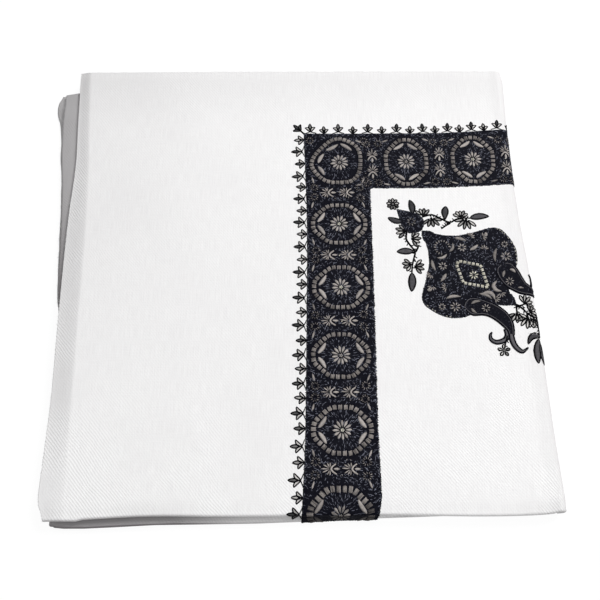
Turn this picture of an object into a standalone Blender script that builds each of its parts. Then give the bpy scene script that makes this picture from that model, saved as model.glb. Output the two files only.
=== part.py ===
"""Embroidered shawl, folded: doubled across its width, then folded to a quarter of its length.

The fold of the first doubling is at the front (-Y) and the selvedges lie at the back. The top
leaf starts with a raw end at the left, runs to the right, wraps down round the whole packet and
returns to the left along the floor. Sizes are in millimetres, and place() turns them into metres
about the middle of the packet's footprint.
"""

import math

import bmesh
import bpy
import numpy as np
from mathutils import Vector

# The packet and its cloth
PACK_HEIGHT = 18.0
PLIES = 8
WALL = 1.5
END_WALL = 1.2
GAP = 0.3
PLY_PITCH = (PACK_HEIGHT - WALL) / (PLIES - 1)
MIDDLE = (-13.927, -4.776)

# Folds: radius of the doubled front edge, of the wrap at the right and of the low left fold
FRONT_RADIUS = 2.7
LOW_FRONT_RADIUS = 2.0
TUCK = 12.0
WRAP_RADIUS = PACK_HEIGHT / 2
LEFT_RADIUS = (3 * PLY_PITCH + WALL) / 2
LEFT_INSET = 4.0
SOFT_RISE = 0.22
EDGE_DROP = 0.8
EDGE_DROP_WIDTH = 16.0

# Lines of the packet, each row a place along the line and the line's position there. The nominal
# ends stand for the packet's own left and right where a line is read along X.
NOMINAL_LEFT = -252.0
NOMINAL_RIGHT = 248.0
LEFT_EDGE = {"y": (-256, -211, -142, -39, 59, 131, 183, 254),
             "x": (-253, -252, -251, -253.4, -254.5, -253, -255.7, -259)}
RIGHT_FOLD = {"y": (-250, -182, -121, -45, 6, 78, 168, 239, 256),
              "x": (258, 254.4, 252.4, 249.3, 246.5, 241.5, 239, 240.0, 239)}
FRONT_FOLD = {"x": (-254, -243, -209, -148, -76, 76, 181, 240, 258),
              "y": (-259, -260.7, -258, -255.2, -255.5, -254, -255, -253, -249)}
LOW_FRONT_FOLD = {"x": (-250, -239, -207, -150, -77, -19, 29, 77, 258),
                  "y": (-262, -265.2, -265, -262, -261, -259.8, -257, -255.5, -249)}
BACK_EDGE = {"x": (-259, 0, 237), "y": (254, 255.5, 256)}

# Raw end of the second leaf, which lies under the top leaf and stands out at the back left
END_UPPER = {"y": (-250, -80, -46, -10, 41, 112, 157, 190, 218, 228),
             "x": (-248, -250, -256, -259, -262, -268, -274, -276, -277.5, -275)}
END_LOWER = {"y": (-250, -57, -32, 9, 72, 112, 147, 162, 190, 205, 218, 228),
             "x": (-248.5, -252, -258, -261.8, -266.4, -270, -275, -276, -280, -285.2, -285.2, -281)}
END_FRONT = -240.0
END_BACK = 228.0
END_SEAT = 12.0
END_SLOPE = 0.13
RUFFLE_WAVES = 11
RUFFLE_RISE = 0.4

# Embroidery: thickness of a band's ground and of a motif on it
GROUND = 0.5
MOTIF = 0.4
END_BAND = {"y": (-258, -172, -62, 53, 170), "outer": (1.7, 5.3, 6.8, 7.6, 4.2),
            "inner": (74, 77, 78, 78, 77.5)}
SIDE_BAND = {"x": (78, 160, 238, 262), "outer": (169.5, 170.5, 175.5, 176.5),
             "inner": (98.7, 100, 104.5, 105.5)}
CORNER_TOP = 169.5
SIDE_BAND_TURN = 231.0
MEDALLIONS = {"x": (40.4, 42.7, 43.4, 42.1, 42.1, 119.5, 195.0),
              "y": (134.6, 54.5, -19.9, -95.2, -172.3, 132.4, 135.7),
              "across": (30.3, 31, 31, 31, 31, 31, 31), "along": (31.5, 25, 25, 25, 25, 25, 25),
              "turned": (False, False, False, False, False, True, True),
              "rosette_x": (44.4, 42.7, 43.4, 42.1, 42.1, 119.5, 195.0),
              "rosette_y": (131.4, 54.5, -19.9, -95.2, -172.3, 132.4, 135.7)}
MEDALLION_FLAT = 0.5
MEDALLION_POINT = 0.26
RING_WIDTH = 5.5
ROSETTE_RADIUS = 9.8
ROSETTE_PETALS = 12

# Sprigs: half a trefoil as shares of its height, from the base to the middle leaf's tip
SPRIG_HALF = ((-0.05, 0), (-0.05, 0.25), (-0.42, 0.35), (-0.43, 0.58), (-0.12, 0.5), (-0.16, 0.8))
SPRIG_LARGE = 13.8
SPRIG_SMALL = 10.1
SPRIG_BASE = 1.0
BASE_REACH = 6.0
END_SPRIGS = {"first": -241.8, "step": 14.2, "count": 29, "swell": 0.0, "large": 1}
SIDE_SPRIGS = {"first": 12.0, "step": 15.25, "count": 15, "swell": 7.0, "large": 0}
CORNER_SPRIG = {"x": 1.6, "y": 172.0, "height": 10.5, "turn": 44.0}

# Corner paisley: its axis runs from the band's corner, and one half is drawn from it
PAISLEY_TOP = (133.0, 46.0)
PAISLEY_HALF = {"along": (0, 5, 15, 30, 41, 50, 57, 65, 77, 87, 97, 104, 108, 112, 119, 127),
                "out": (0, 5.5, 9.5, 22.5, 39.5, 56, 61.5, 62, 59.5, 54.5, 44, 29, 17.5, 11, 7.2, 2)}
TIP_LEAN = {"from": 104.0, "to": 127.0, "out": 5.5}
BUD_HALF = {"along": (-1.5, -4.5, -10.5, -19.5, -28.5, -37.5), "out": (1.5, 8, 12, 11, 6, 0)}
EYE_REACH = {"along": 22.0, "out": 16.5}
EYE_CENTRE = 72.7
EYE_RING_WIDTH = 4.0
EYE_CORNERS = 20
TAIL_LINE = {"x": (207.5, 213, 216, 217, 222, 231), "y": (-53, -59, -67, -77, -88, -89)}
TAIL_HALF_WIDTH = (4.0, 6.0, 4.5, 3.5, 2.5, 0.7)
LEAVES = {"name": ("bud_up", "bud_side", "right_up", "right_end", "down_side", "down_end"),
          "x": (125, 107, 160, 196, 121, 118.3), "y": (72, 59.5, 63, 62, 22.3, -3.4),
          "turn": (102, 163, 89, 14, 184, 268), "length": (15, 15, 15, 13, 18, 19)}
LEAF_HALF_WIDTH = 3.3
FLOWERS = {"name": ("tip", "near_right", "right", "far_right", "near_down", "down", "far_down",
                    "low"),
           "x": (102, 137, 147, 187, 109, 126, 113.5, 209),
           "y": (79, 70, 55, 71, 44, 35, 8, -92)}
FLOWER_RADIUS = 5.2
FLOWER_PETALS = 8

# Stations of the surfaces
ROLL_STEPS = 6
WRAP_STEPS = 8
ACROSS_TOP = (0, 0.016, 0.033, 0.055, 0.09, 0.16, 0.25, 0.35, 0.46, 0.57, 0.68, 0.79, 0.89, 0.96)
WIDTH_STEPS = 12


def read(table, column, at, by):
    """A smooth curve through a table's rows: the value of one column where another is `at`."""
    places = table[by]
    values = table[column]
    spot = min(max(at, places[0]), places[-1])
    last = len(places) - 2
    i = min(int(np.searchsorted(places, spot, side="right")) - 1, last)
    i = max(i, 0)
    gap = places[i + 1] - places[i]
    t = (spot - places[i]) / gap
    slope = (values[i + 1] - values[i]) / gap
    before = slope if i == 0 else (values[i + 1] - values[i - 1]) / (places[i + 1] - places[i - 1])
    after = slope if i == last else (values[i + 2] - values[i]) / (places[i + 2] - places[i])
    first = (2 * t**3 - 3 * t**2 + 1) * values[i] + (t**3 - 2 * t**2 + t) * gap * before
    return first + (3 * t**2 - 2 * t**3) * values[i + 1] + (t**3 - t**2) * gap * after


def place(x, y, z):
    """Millimetres in the packet to metres about the middle of its footprint."""
    return Vector((x - MIDDLE[0], y - MIDDLE[1], z)) / 1000


def material(name, colour, roughness):
    made = bpy.data.materials.new(name)
    made.use_nodes = True
    shader = made.node_tree.nodes["Principled BSDF"]
    shader.inputs["Base Color"].default_value = (*colour, 1)
    shader.inputs["Roughness"].default_value = roughness
    shader.inputs["Metallic"].default_value = 0
    return made


def add_object(name, mesh, finish):
    mesh.materials.append(finish)
    mesh.shade_smooth()
    mesh.set_sharp_from_angle(angle=math.radians(40))
    added = bpy.data.objects.new(name, mesh)
    collection.objects.link(added)
    return added


def ease(t):
    t = min(max(t, 0), 1)
    return t * t * (3 - 2 * t)


def soft_height(x, y):
    """Slow rise and fall of the top leaf, with its drop to the raw end and to the folds."""
    rise = SOFT_RISE * math.sin(x / 58 + 0.6) * math.sin(y / 71 + 1.1)
    to_left = x - read(LEFT_EDGE, "x", y, "y")
    to_front = y - read(FRONT_FOLD, "y", x, "x")
    calm = ease(to_front / 40) * ease((read(RIGHT_FOLD, "x", y, "y") - x) / 40)
    drop = EDGE_DROP * (1 - ease(to_left / EDGE_DROP_WIDTH))
    return rise * calm - drop


def front_line(stretch, x):
    """Position and radius of the front fold on a stretch of the outer ply."""
    if stretch in ("top", "wrap"):
        return read(FRONT_FOLD, "y", x, "x"), FRONT_RADIUS
    radius = LOW_FRONT_RADIUS + (FRONT_RADIUS - LOW_FRONT_RADIUS) * ease((x + 230) / 420)
    return read(LOW_FRONT_FOLD, "y", x, "x"), radius


def along_packet(stretch, run, y):
    """Point and outward direction, in X and Z, of the outer ply on its way round the packet."""
    right = read(RIGHT_FOLD, "x", y, "y") - WRAP_RADIUS
    left = read(LEFT_EDGE, "x", y, "y") + LEFT_INSET + LEFT_RADIUS
    if stretch == "top":
        return run, PACK_HEIGHT + soft_height(run, y), 0, 1
    if stretch == "wrap":
        turn = (math.sin(run), math.cos(run))
        return right + WRAP_RADIUS * turn[0], WRAP_RADIUS * (1 + turn[1]), turn[0], turn[1]
    if stretch == "floor":
        return run, 0, 0, -1
    if stretch == "left":
        turn = (-math.sin(run), -math.cos(run))
        return left + LEFT_RADIUS * turn[0], LEFT_RADIUS * (1 + turn[1]), turn[0], turn[1]
    return left + run, 2 * LEFT_RADIUS, 0, 1


def across_fold(stretch, x, row, run):
    """Y, depth and outward direction of the doubled section, from its tuck to its back edge."""
    line, radius = front_line(stretch, x)
    if row == "flat":
        return run, 0, 0, 1
    if row == "roll":
        side, rise = math.sin(run), math.cos(run)
        return line + radius * (1 - side), radius * (rise - 1), -side, rise
    return line + radius + run, -2 * radius, 0, -1


def on_cloth(stretch, run, row, reach, lift):
    """A point of the outer ply, `lift` above its outer face."""
    nominal = {"wrap": NOMINAL_RIGHT, "left": NOMINAL_LEFT, "return": NOMINAL_LEFT}.get(stretch, run)
    y, depth, out_y, out_n = across_fold(stretch, nominal, row, reach)
    x, z, out_x, out_z = along_packet(stretch, run, y)
    height = depth + lift * out_n
    return place(x + out_x * height, y + lift * out_y, z + out_z * height)


def lay(x, y, lift):
    """A point of the face that shows, by its place on the flat cloth, round both folds."""
    line, radius = front_line("top", x)
    start = read(RIGHT_FOLD, "x", y, "y") - WRAP_RADIUS
    stretch, run = ("top", x) if x <= start else ("wrap", (x - start) / WRAP_RADIUS)
    if y >= line + radius:
        return on_cloth(stretch, run, "flat", y, lift)
    return on_cloth(stretch, run, "roll", (line + radius - y) / radius, lift)


def sheet(name, columns, rows, point, wall, finish):
    """An open surface of columns by rows of points, thickened inwards by its wall."""
    made = bmesh.new()
    bmesh.ops.create_grid(made, x_segments=columns, y_segments=rows, size=1)
    for corner in made.verts:
        i = round((corner.co.x + 1) / 2 * columns)
        j = round((corner.co.y + 1) / 2 * rows)
        corner.co = point(i, j)
    mesh = bpy.data.meshes.new(name)
    made.to_mesh(mesh)
    made.free()
    added = add_object(name, mesh, finish)
    thick = added.modifiers.new("wall", "SOLIDIFY")
    thick.thickness = wall / 1000
    thick.offset = -1
    return added


def laid_shape(name, outlines, low, thickness, finish):
    """A flat outline, with any holes, cut to its thickness and laid on the cloth."""
    curve = bpy.data.curves.new(name, "CURVE")
    curve.dimensions = "2D"
    curve.fill_mode = "BOTH"
    curve.extrude = thickness / 2
    for outline in outlines:
        spline = curve.splines.new("POLY")
        spline.points.add(len(outline) - 1)
        for point, (x, y) in zip(spline.points, outline):
            point.co = (x, y, 0, 1)
        spline.use_cyclic_u = True
    guide = bpy.data.objects.new(name + "_outline", curve)
    collection.objects.link(guide)
    bpy.context.view_layer.update()
    mesh = bpy.data.meshes.new_from_object(guide.evaluated_get(bpy.context.evaluated_depsgraph_get()))
    bpy.data.objects.remove(guide)
    bpy.data.curves.remove(curve)
    mesh.name = name
    made = bmesh.new()
    made.from_mesh(mesh)
    bmesh.ops.remove_doubles(made, verts=made.verts, dist=0.01)
    for corner in made.verts:
        corner.co = lay(corner.co.x, corner.co.y, low + thickness / 2 + corner.co.z)
    bmesh.ops.recalc_face_normals(made, faces=made.faces)
    made.to_mesh(mesh)
    made.free()
    return add_object(name, mesh, finish)


def build_outer_ply(finish):
    """The ply that shows: top leaf, right wrap, the face on the floor and the low left fold."""
    columns = [("top", share) for share in ACROSS_TOP]
    columns += [("wrap", math.pi * i / WRAP_STEPS) for i in range(WRAP_STEPS)]
    columns += [("floor", share) for share in (0, 0.1, 0.3, 0.5, 0.7, 0.85, 0.93, 0.96)]
    columns += [("left", math.pi * i / ROLL_STEPS) for i in range(ROLL_STEPS + 1)]
    columns += [("return", TUCK)]
    rows = [("tuck", TUCK)]
    rows += [("roll", math.pi * (1 - j / ROLL_STEPS)) for j in range(ROLL_STEPS)]
    rows += [("flat", j / WIDTH_STEPS) for j in range(WIDTH_STEPS + 1)]

    def point(i, j):
        stretch, run = columns[i]
        row, reach = rows[j]
        span = NOMINAL_RIGHT - NOMINAL_LEFT
        x = {"top": NOMINAL_LEFT + span * run, "wrap": NOMINAL_RIGHT,
             "floor": NOMINAL_RIGHT - span * run}.get(stretch, NOMINAL_LEFT)
        line, radius = front_line(stretch, x)
        if row == "flat":
            back = read(BACK_EDGE, "y", x, "x")
            reach = line + radius + (back - line - radius) * reach
        y = across_fold(stretch, x, row, reach)[0]
        left = read(LEFT_EDGE, "x", y, "y")
        right = read(RIGHT_FOLD, "x", y, "y") - WRAP_RADIUS
        if stretch == "top":
            run = left + (right - left) * run
        if stretch == "floor":
            run = right + (left + LEFT_INSET + LEFT_RADIUS - right) * run
        return on_cloth(stretch, run, row, reach, 0)

    return sheet("outer_ply", len(columns) - 1, len(rows) - 1, point, WALL, finish)


def ply_top(ply):
    return PACK_HEIGHT - (ply - 1) * PLY_PITCH


def build_folded_layers(finish):
    """The hidden leaves as one solid, whose edges part into plies, folds and selvedges."""
    hollow = TUCK + 2 * FRONT_RADIUS + 5 * GAP
    floor = WALL + GAP
    lid = PACK_HEIGHT - WALL - GAP - SOFT_RISE - 0.1
    # Height of each step, and how far its front and back stand in from the packet's own lines
    levels = {
        "z": (floor, ply_top(7), 4.3, ply_top(6) - WALL, 5.75, ply_top(6), 6.5,
              ply_top(5) - WALL, ply_top(5), 9.0, ply_top(4) - WALL, ply_top(4), 11.35,
              ply_top(3) - WALL, 11.95, ply_top(3), 13.7, ply_top(2) - WALL, ply_top(2) - 0.1, lid),
        "front": (hollow, hollow, hollow, hollow, hollow, 2.6, 1.6,
                  1.2, 1.6, 4.0, 1.6, 0.8, 1.0,
                  2.2, hollow, hollow, hollow, hollow, hollow, hollow),
        "back": (6, 0.5, 4, 2.0, 2.0, 2.0, 5,
                 0.8, 0.8, 5, 2.5, 2.5, 5,
                 1.0, 1.0, 1.0, 5, 0.6, 0.6, 6),
    }
    low_inner = LEFT_RADIUS - WALL - GAP
    wrap_inner = WRAP_RADIUS - WALL - 2 * GAP
    tuck_inner = WRAP_RADIUS - 2 * FRONT_RADIUS - GAP

    def left_inset(z):
        if z < ply_top(6) - WALL:
            return LEFT_INSET + LEFT_RADIUS - math.sqrt(max(low_inner**2 - (z - LEFT_RADIUS)**2, 0))
        if z < ply_top(5) + GAP:
            return LEFT_INSET + LEFT_RADIUS + TUCK + GAP
        if z < ply_top(3) + GAP:
            return END_SEAT
        return 7.0 if z < lid else EDGE_DROP_WIDTH + 2

    made = bmesh.new()
    rings = []
    side = 12
    past_tuck = 0.04
    for z, front, back in zip(levels["z"], levels["front"], levels["back"]):
        ring = []

        def corner(u, v):
            inner = tuck_inner if v <= past_tuck else wrap_inner
            reach = math.sqrt(max(inner**2 - (z - WRAP_RADIUS)**2, 0)) - WRAP_RADIUS
            nominal = NOMINAL_LEFT + (NOMINAL_RIGHT - NOMINAL_LEFT) * u
            low = read(LOW_FRONT_FOLD, "y", nominal, "x")
            high = read(FRONT_FOLD, "y", nominal, "x")
            line = low if z < ply_top(4) else (low + high) / 2
            y = line + front + (read(BACK_EDGE, "y", nominal, "x") - back - line - front) * v
            left = read(LEFT_EDGE, "x", y, "y") + left_inset(z)
            right = read(RIGHT_FOLD, "x", y, "y") + reach
            return place(left + (right - left) * u, y, z)

        spots = [(share, 0) for share in ACROSS_TOP]
        spots += [(1, 0), (1, past_tuck)]
        spots += [(1, i / side) for i in range(1, side)]
        spots += [(share, 1) for share in (1,) + ACROSS_TOP[:0:-1]]
        spots += [(0, 1 - i / side) for i in range(side)]
        for u, v in spots:
            ring.append(made.verts.new(corner(u, v)))
        rings.append(ring)
    for lower, upper in zip(rings, rings[1:]):
        for i in range(len(lower)):
            k = (i + 1) % len(lower)
            made.faces.new((lower[i], lower[k], upper[k], upper[i]))
    made.faces.new(reversed(rings[0]))
    made.faces.new(rings[-1])
    mesh = bpy.data.meshes.new("folded_layers")
    made.to_mesh(mesh)
    made.free()
    return add_object("folded_layers", mesh, finish)


def build_inner_end(name, line, ply, ruffle, finish):
    """The raw end of one ply of the second leaf, which droops where the top leaf stops."""
    across, along = 4, 26

    def point(i, j):
        y = END_FRONT + (END_BACK - END_FRONT) * j / along
        edge = read(LEFT_EDGE, "x", y, "y")
        seat = edge + END_SEAT - 2 * GAP
        outer = read(line, "x", y, "y")
        x = outer + (seat - outer) * i / across
        past = max(edge - x, 0)
        wave = ruffle * math.sin(2 * math.pi * RUFFLE_WAVES * j / along) * min(past / 8, 1)
        return place(x, y, ply_top(ply) - END_SLOPE * past + wave)

    return sheet(name, across, along, point, END_WALL, finish)


def build_bands(finish):
    """Grounds of close stitches: one band across the shawl's end, one along its side."""
    width_steps = 4
    flat_steps = 14

    def end_point(i, j):
        roll = max(ROLL_STEPS - 2 - j, 0)
        line, radius = front_line("top", MEDALLIONS["x"][0])
        start = line + radius
        y = start + (CORNER_TOP - start) * max(j - ROLL_STEPS + 2, 0) / flat_steps
        outer = read(END_BAND, "outer", y, "y")
        inner = read(END_BAND, "inner", y, "y")
        x = outer + (inner - outer) * i / width_steps
        line, radius = front_line("top", x)
        if roll:
            return on_cloth("top", x, "roll", math.pi * roll / ROLL_STEPS, GAP + GROUND)
        return on_cloth("top", x, "flat", max(y, line + radius), GAP + GROUND)

    def side_point(i, j):
        start = read(END_BAND, "inner", MEDALLIONS["y"][0], "y") + GAP
        x = start + (SIDE_BAND_TURN - start) * min(i, flat_steps) / flat_steps
        outer = read(SIDE_BAND, "outer", x, "x")
        inner = read(SIDE_BAND, "inner", x, "x")
        y = inner + (outer - inner) * j / width_steps
        turn = i - flat_steps
        if turn < 0:
            return on_cloth("top", x, "flat", y, GAP + GROUND)
        return on_cloth("wrap", math.pi * turn / WRAP_STEPS, "flat", y, GAP + GROUND)

    sheet("end_band", width_steps, flat_steps + ROLL_STEPS - 2, end_point, GROUND, finish)
    sheet("side_band", flat_steps + WRAP_STEPS - 2, width_steps, side_point, GROUND, finish)


def octagon(centre, across, along, turned):
    """Stretched octagon: flat sides face the next medallions, points face the band's edges."""
    quarter = [(across, across * MEDALLION_POINT), (along * MEDALLION_FLAT, along)]
    corners = quarter + [(-x, y) for x, y in reversed(quarter)]
    corners += [(-x, -y) for x, y in corners]
    if turned:
        corners = [(y, x) for x, y in corners]
    return [(centre[0] + x, centre[1] + y) for x, y in corners]


def rosette(centre, radius, petals, depth=0.72):
    points = []
    for i in range(2 * petals):
        angle = math.pi * i / petals
        reach = radius * (1 if i % 2 == 0 else depth)
        points.append((centre[0] + reach * math.cos(angle), centre[1] + reach * math.sin(angle)))
    return points


def build_medallions(finish):
    """A ring of stitched blocks and a rosette on the ground for each medallion."""
    low = GAP + GROUND + GAP
    for number, row in enumerate(zip(*MEDALLIONS.values()), 1):
        x, y, across, along, turned, rosette_x, rosette_y = row
        outer = octagon((x, y), across, along, turned)
        inner = octagon((x, y), across - RING_WIDTH, along - RING_WIDTH, turned)
        laid_shape(f"medallion_{number}_ring", [outer, inner], low, MOTIF, finish)
        petals = [rosette((rosette_x, rosette_y), ROSETTE_RADIUS, ROSETTE_PETALS)]
        laid_shape(f"medallion_{number}_rosette", petals, low, MOTIF, finish)


def sprig(height):
    """Trefoil outline as (along, out) pairs from the base line: side leaf, middle leaf, side leaf."""
    half = [(along * height, out * height) for along, out in SPRIG_HALF]
    return half + [(0, height)] + [(-along, out) for along, out in reversed(half)]


def build_sprigs(finish):
    """Rows of leaf sprigs that stand on a stitched line along each band's outer edge."""
    def row(name, first, step, count, swell, large, to_cloth):
        centres = [first + step * i + swell * math.sin(math.pi * i / (count - 1))**2 for i in range(count)]
        top = []
        for i, centre in enumerate(centres):
            height = SPRIG_LARGE if i % 2 == large else SPRIG_SMALL
            top += [(centre + along, SPRIG_BASE + out) for along, out in sprig(height)]
        start, stop = centres[0] - BASE_REACH, centres[-1] + BASE_REACH
        ends = [(stop, SPRIG_BASE), (stop, 0)]
        base = [(start + (stop - start) * (1 - i / 12), 0) for i in range(1, 12)]
        outline = [(start, 0), (start, SPRIG_BASE)] + top + ends + base
        laid_shape(name, [[to_cloth(along, out) for along, out in outline]], GAP, GROUND, finish)

    row("end_sprigs", *END_SPRIGS.values(),
        lambda along, out: (read(END_BAND, "outer", along, "y") - 2 * GAP - out, along))
    row("side_sprigs", *SIDE_SPRIGS.values(),
        lambda along, out: (along, read(SIDE_BAND, "outer", along, "x") + 2 * GAP + out))
    turn = math.radians(CORNER_SPRIG["turn"])
    outline = []
    for along, out in sprig(CORNER_SPRIG["height"]):
        x = CORNER_SPRIG["x"] - out * math.sin(turn) + along * math.cos(turn)
        outline.append((x, CORNER_SPRIG["y"] + out * math.cos(turn) + along * math.sin(turn)))
    laid_shape("corner_sprig", [outline], GAP, GROUND, finish)


def on_axis(along, out):
    """Paisley's own axes, down the corner's diagonal and out from it, to the cloth."""
    diagonal = math.sqrt(0.5)
    out += TIP_LEAN["out"] * ease((along - TIP_LEAN["from"]) / (TIP_LEAN["to"] - TIP_LEAN["from"]))
    return (PAISLEY_TOP[0] + (along + out) * diagonal, PAISLEY_TOP[1] + (out - along) * diagonal)


def two_halves(table, steps):
    """A closed outline from one half, mirrored about the paisley's axis."""
    ends = table["along"][0], table["along"][-1]
    half = []
    for i in range(steps + 1):
        along = ends[0] + (ends[1] - ends[0]) * (1 - math.cos(math.pi * i / steps)) / 2
        half.append((along, read(table, "out", along, "along")))
    return [on_axis(*p) for p in half] + [on_axis(a, -o) for a, o in reversed(half[1:-1])]


def build_paisley(ground, thread):
    """The corner motif: a bud, a broad body with an eye, and a tail that curls below it."""
    laid_shape("paisley_body", [two_halves(PAISLEY_HALF, 24)], GAP, GROUND, ground)
    outline = list(zip(BUD_HALF["along"], BUD_HALF["out"]))
    mirrored = [(a, -o) for a, o in reversed(outline[:-1])]
    laid_shape("paisley_bud", [[on_axis(*p) for p in outline + mirrored]], GAP, GROUND, ground)

    low = GAP + GROUND + GAP
    eye = []
    for inset in (0, EYE_RING_WIDTH):
        loop = []
        for i in range(EYE_CORNERS):
            angle = 2 * math.pi * i / EYE_CORNERS
            along = EYE_CENTRE + (EYE_REACH["along"] - inset) * math.cos(angle)
            loop.append(on_axis(along, (EYE_REACH["out"] - inset) * math.sin(angle)))
        eye.append(loop)
    laid_shape("paisley_eye_ring", eye, low, MOTIF, thread)
    centre = on_axis(EYE_CENTRE, 0)
    laid_shape("paisley_eye_flower", [rosette(centre, FLOWER_RADIUS, FLOWER_PETALS)], low, MOTIF, thread)

    left, right = [], []
    points = list(zip(TAIL_LINE["x"], TAIL_LINE["y"], TAIL_HALF_WIDTH))
    for i, (x, y, half) in enumerate(points):
        before, after = points[max(i - 1, 0)], points[min(i + 1, len(points) - 1)]
        run = Vector((after[0] - before[0], after[1] - before[1])).normalized()
        left.append((x - run.y * half, y + run.x * half))
        right.append((x + run.y * half, y - run.x * half))
    laid_shape("paisley_tail", [left + right[::-1]], GAP, GROUND, ground)


def build_sprays(leaf_finish, flower_finish):
    """Leaves and small flowers of the two sprays that leave the bud."""
    columns = zip(LEAVES["name"], LEAVES["x"], LEAVES["y"], LEAVES["turn"], LEAVES["length"])
    for name, x, y, turn, length in columns:
        run = Vector((math.cos(math.radians(turn)), math.sin(math.radians(turn))))
        outline = []
        for i in range(12):
            angle = 2 * math.pi * i / 12
            along = length * (1 - math.cos(angle)) / 2
            out = LEAF_HALF_WIDTH * math.sin(angle)
            outline.append((x + run.x * along - run.y * out, y + run.y * along + run.x * out))
        laid_shape("spray_leaf_" + name, [outline], GAP, GROUND, leaf_finish)
    for name, x, y in zip(FLOWERS["name"], FLOWERS["x"], FLOWERS["y"]):
        petals = rosette((x, y), FLOWER_RADIUS, FLOWER_PETALS, 0.55)
        laid_shape("spray_flower_" + name, [petals], GAP, GROUND, flower_finish)


for old in list(bpy.data.objects):
    bpy.data.objects.remove(old)
collection = bpy.data.collections.new("embroidered_shawl")
bpy.context.scene.collection.children.link(collection)

white_wool = material("white_wool_twill", (0.82, 0.80, 0.78), 0.85)
shaded_wool = material("white_wool_inner_layers", (0.66, 0.64, 0.62), 0.9)
navy_stitch = material("navy_stitch", (0.010, 0.013, 0.035), 0.6)
grey_thread = material("grey_thread", (0.30, 0.27, 0.25), 0.6)

build_outer_ply(white_wool)
build_folded_layers(shaded_wool)
build_inner_end("inner_end_upper", END_UPPER, 3, RUFFLE_RISE / 3, white_wool)
build_inner_end("inner_end_lower", END_LOWER, 4, RUFFLE_RISE, shaded_wool)
build_bands(navy_stitch)
build_medallions(grey_thread)
build_sprigs(navy_stitch)
build_paisley(navy_stitch, grey_thread)
build_sprays(grey_thread, navy_stitch)
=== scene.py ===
"""Embroidered wool shawl, folded to a flat packet that lies on a pale table."""
import math

import bpy
import numpy as np
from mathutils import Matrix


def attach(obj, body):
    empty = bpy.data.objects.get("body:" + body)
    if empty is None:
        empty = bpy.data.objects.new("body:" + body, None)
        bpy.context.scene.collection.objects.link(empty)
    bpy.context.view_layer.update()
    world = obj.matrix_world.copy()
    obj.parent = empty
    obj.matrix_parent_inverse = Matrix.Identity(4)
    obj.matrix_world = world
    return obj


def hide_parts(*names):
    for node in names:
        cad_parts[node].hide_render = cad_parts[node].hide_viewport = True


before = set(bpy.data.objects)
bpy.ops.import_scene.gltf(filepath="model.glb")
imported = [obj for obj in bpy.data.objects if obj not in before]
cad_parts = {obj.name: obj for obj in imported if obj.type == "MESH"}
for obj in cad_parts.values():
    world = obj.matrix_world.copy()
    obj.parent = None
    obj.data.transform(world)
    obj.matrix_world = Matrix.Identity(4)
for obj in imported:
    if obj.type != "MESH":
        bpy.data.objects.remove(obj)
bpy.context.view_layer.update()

scene = bpy.context.scene


# Camera. It stands in front of the packet and looks down on it at 21 degrees from upright,
# from about 0.8 m, so the back of the packet looks a little narrower than its front.
CAMERA_PLACE = (0.013927, -0.331224, 0.804)
CAMERA_TILT = 21
LENS = 48
SENSOR = 36

camera_lens = bpy.data.cameras.new("view")
camera_lens.lens = LENS
camera_lens.sensor_width = SENSOR
camera = bpy.data.objects.new("view", camera_lens)
camera.location = CAMERA_PLACE
camera.rotation_euler = (math.radians(CAMERA_TILT), 0, 0)
scene.collection.objects.link(camera)
scene.camera = camera
scene.view_settings.view_transform = "Standard"


# Table and light. The table is plain white. One large soft light stands behind the packet at
# its right and a weaker one overhead, so the faces at the front and the left are in soft shade.
TABLE_REACH = 4.0
TABLE_SINK = 0.0002
TABLE_GLOW = 0.93
TABLE_TONES = ((0.07, 0.07, 0.07, 1), (0.08, 0.08, 0.08, 1))
ROOM_COLOUR = (0.96, 0.98, 1.0, 1)
ROOM_GLOW = 0.22


class Wire:
    """An output of a material's nodes. A sum written with it adds the Math nodes it needs."""

    def __init__(self, tree, socket=None):
        self.tree = tree
        self.socket = socket

    def node(self, kind, settings=None, sockets=None, out=0):
        """Add a node: its settings come first, then the values or wires of its sockets."""
        made = self.tree.nodes.new(kind)
        for name, value in (settings or {}).items():
            if name == "stops":
                for stop, (place, colour) in zip(made.color_ramp.elements, value):
                    stop.position = place
                    stop.color = colour
            else:
                setattr(made, name, value)
        for name, value in (sockets or {}).items():
            if isinstance(value, Wire):
                self.tree.links.new(value.socket, made.inputs[name])
            else:
                made.inputs[name].default_value = value
        return Wire(self.tree, made.outputs[out])

    def math(self, operation, first, second=0.0):
        return self.node("ShaderNodeMath", {"operation": operation}, {0: first, 1: second})

    def __add__(self, other):
        return self.math("ADD", self, other)

    def __radd__(self, other):
        return self.math("ADD", other, self)

    def __sub__(self, other):
        return self.math("SUBTRACT", self, other)

    def __rsub__(self, other):
        return self.math("SUBTRACT", other, self)

    def __mul__(self, other):
        return self.math("MULTIPLY", self, other)

    def __rmul__(self, other):
        return self.math("MULTIPLY", other, self)

    def sine(self):
        return self.math("SINE", self)

    def held(self, low, high):
        """This value as a share from 0 at low to 1 at high, eased at both."""
        return self.node("ShaderNodeMapRange", {"interpolation_type": "SMOOTHSTEP"},
                         {"Value": self, "From Min": low, "From Max": high})

    def speckle(self, scale, detail=2.0, rough=0.5):
        """Noise at places given by this vector."""
        return self.node("ShaderNodeTexNoise", {"noise_dimensions": "3D"},
                         {"Vector": self, "Scale": scale, "Detail": detail, "Roughness": rough})

    def stretched(self, amounts):
        return self.node("ShaderNodeVectorMath", {"operation": "MULTIPLY"}, {0: self, 1: amounts})


def blend(share, first, second):
    """Colour between two colours or wires."""
    tree = next(w for w in (share, first, second) if isinstance(w, Wire))
    settings = {"data_type": "RGBA", "blend_type": "MIX"}
    return tree.node("ShaderNodeMix", settings, {0: share, 6: first, 7: second}, out=2)


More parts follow.
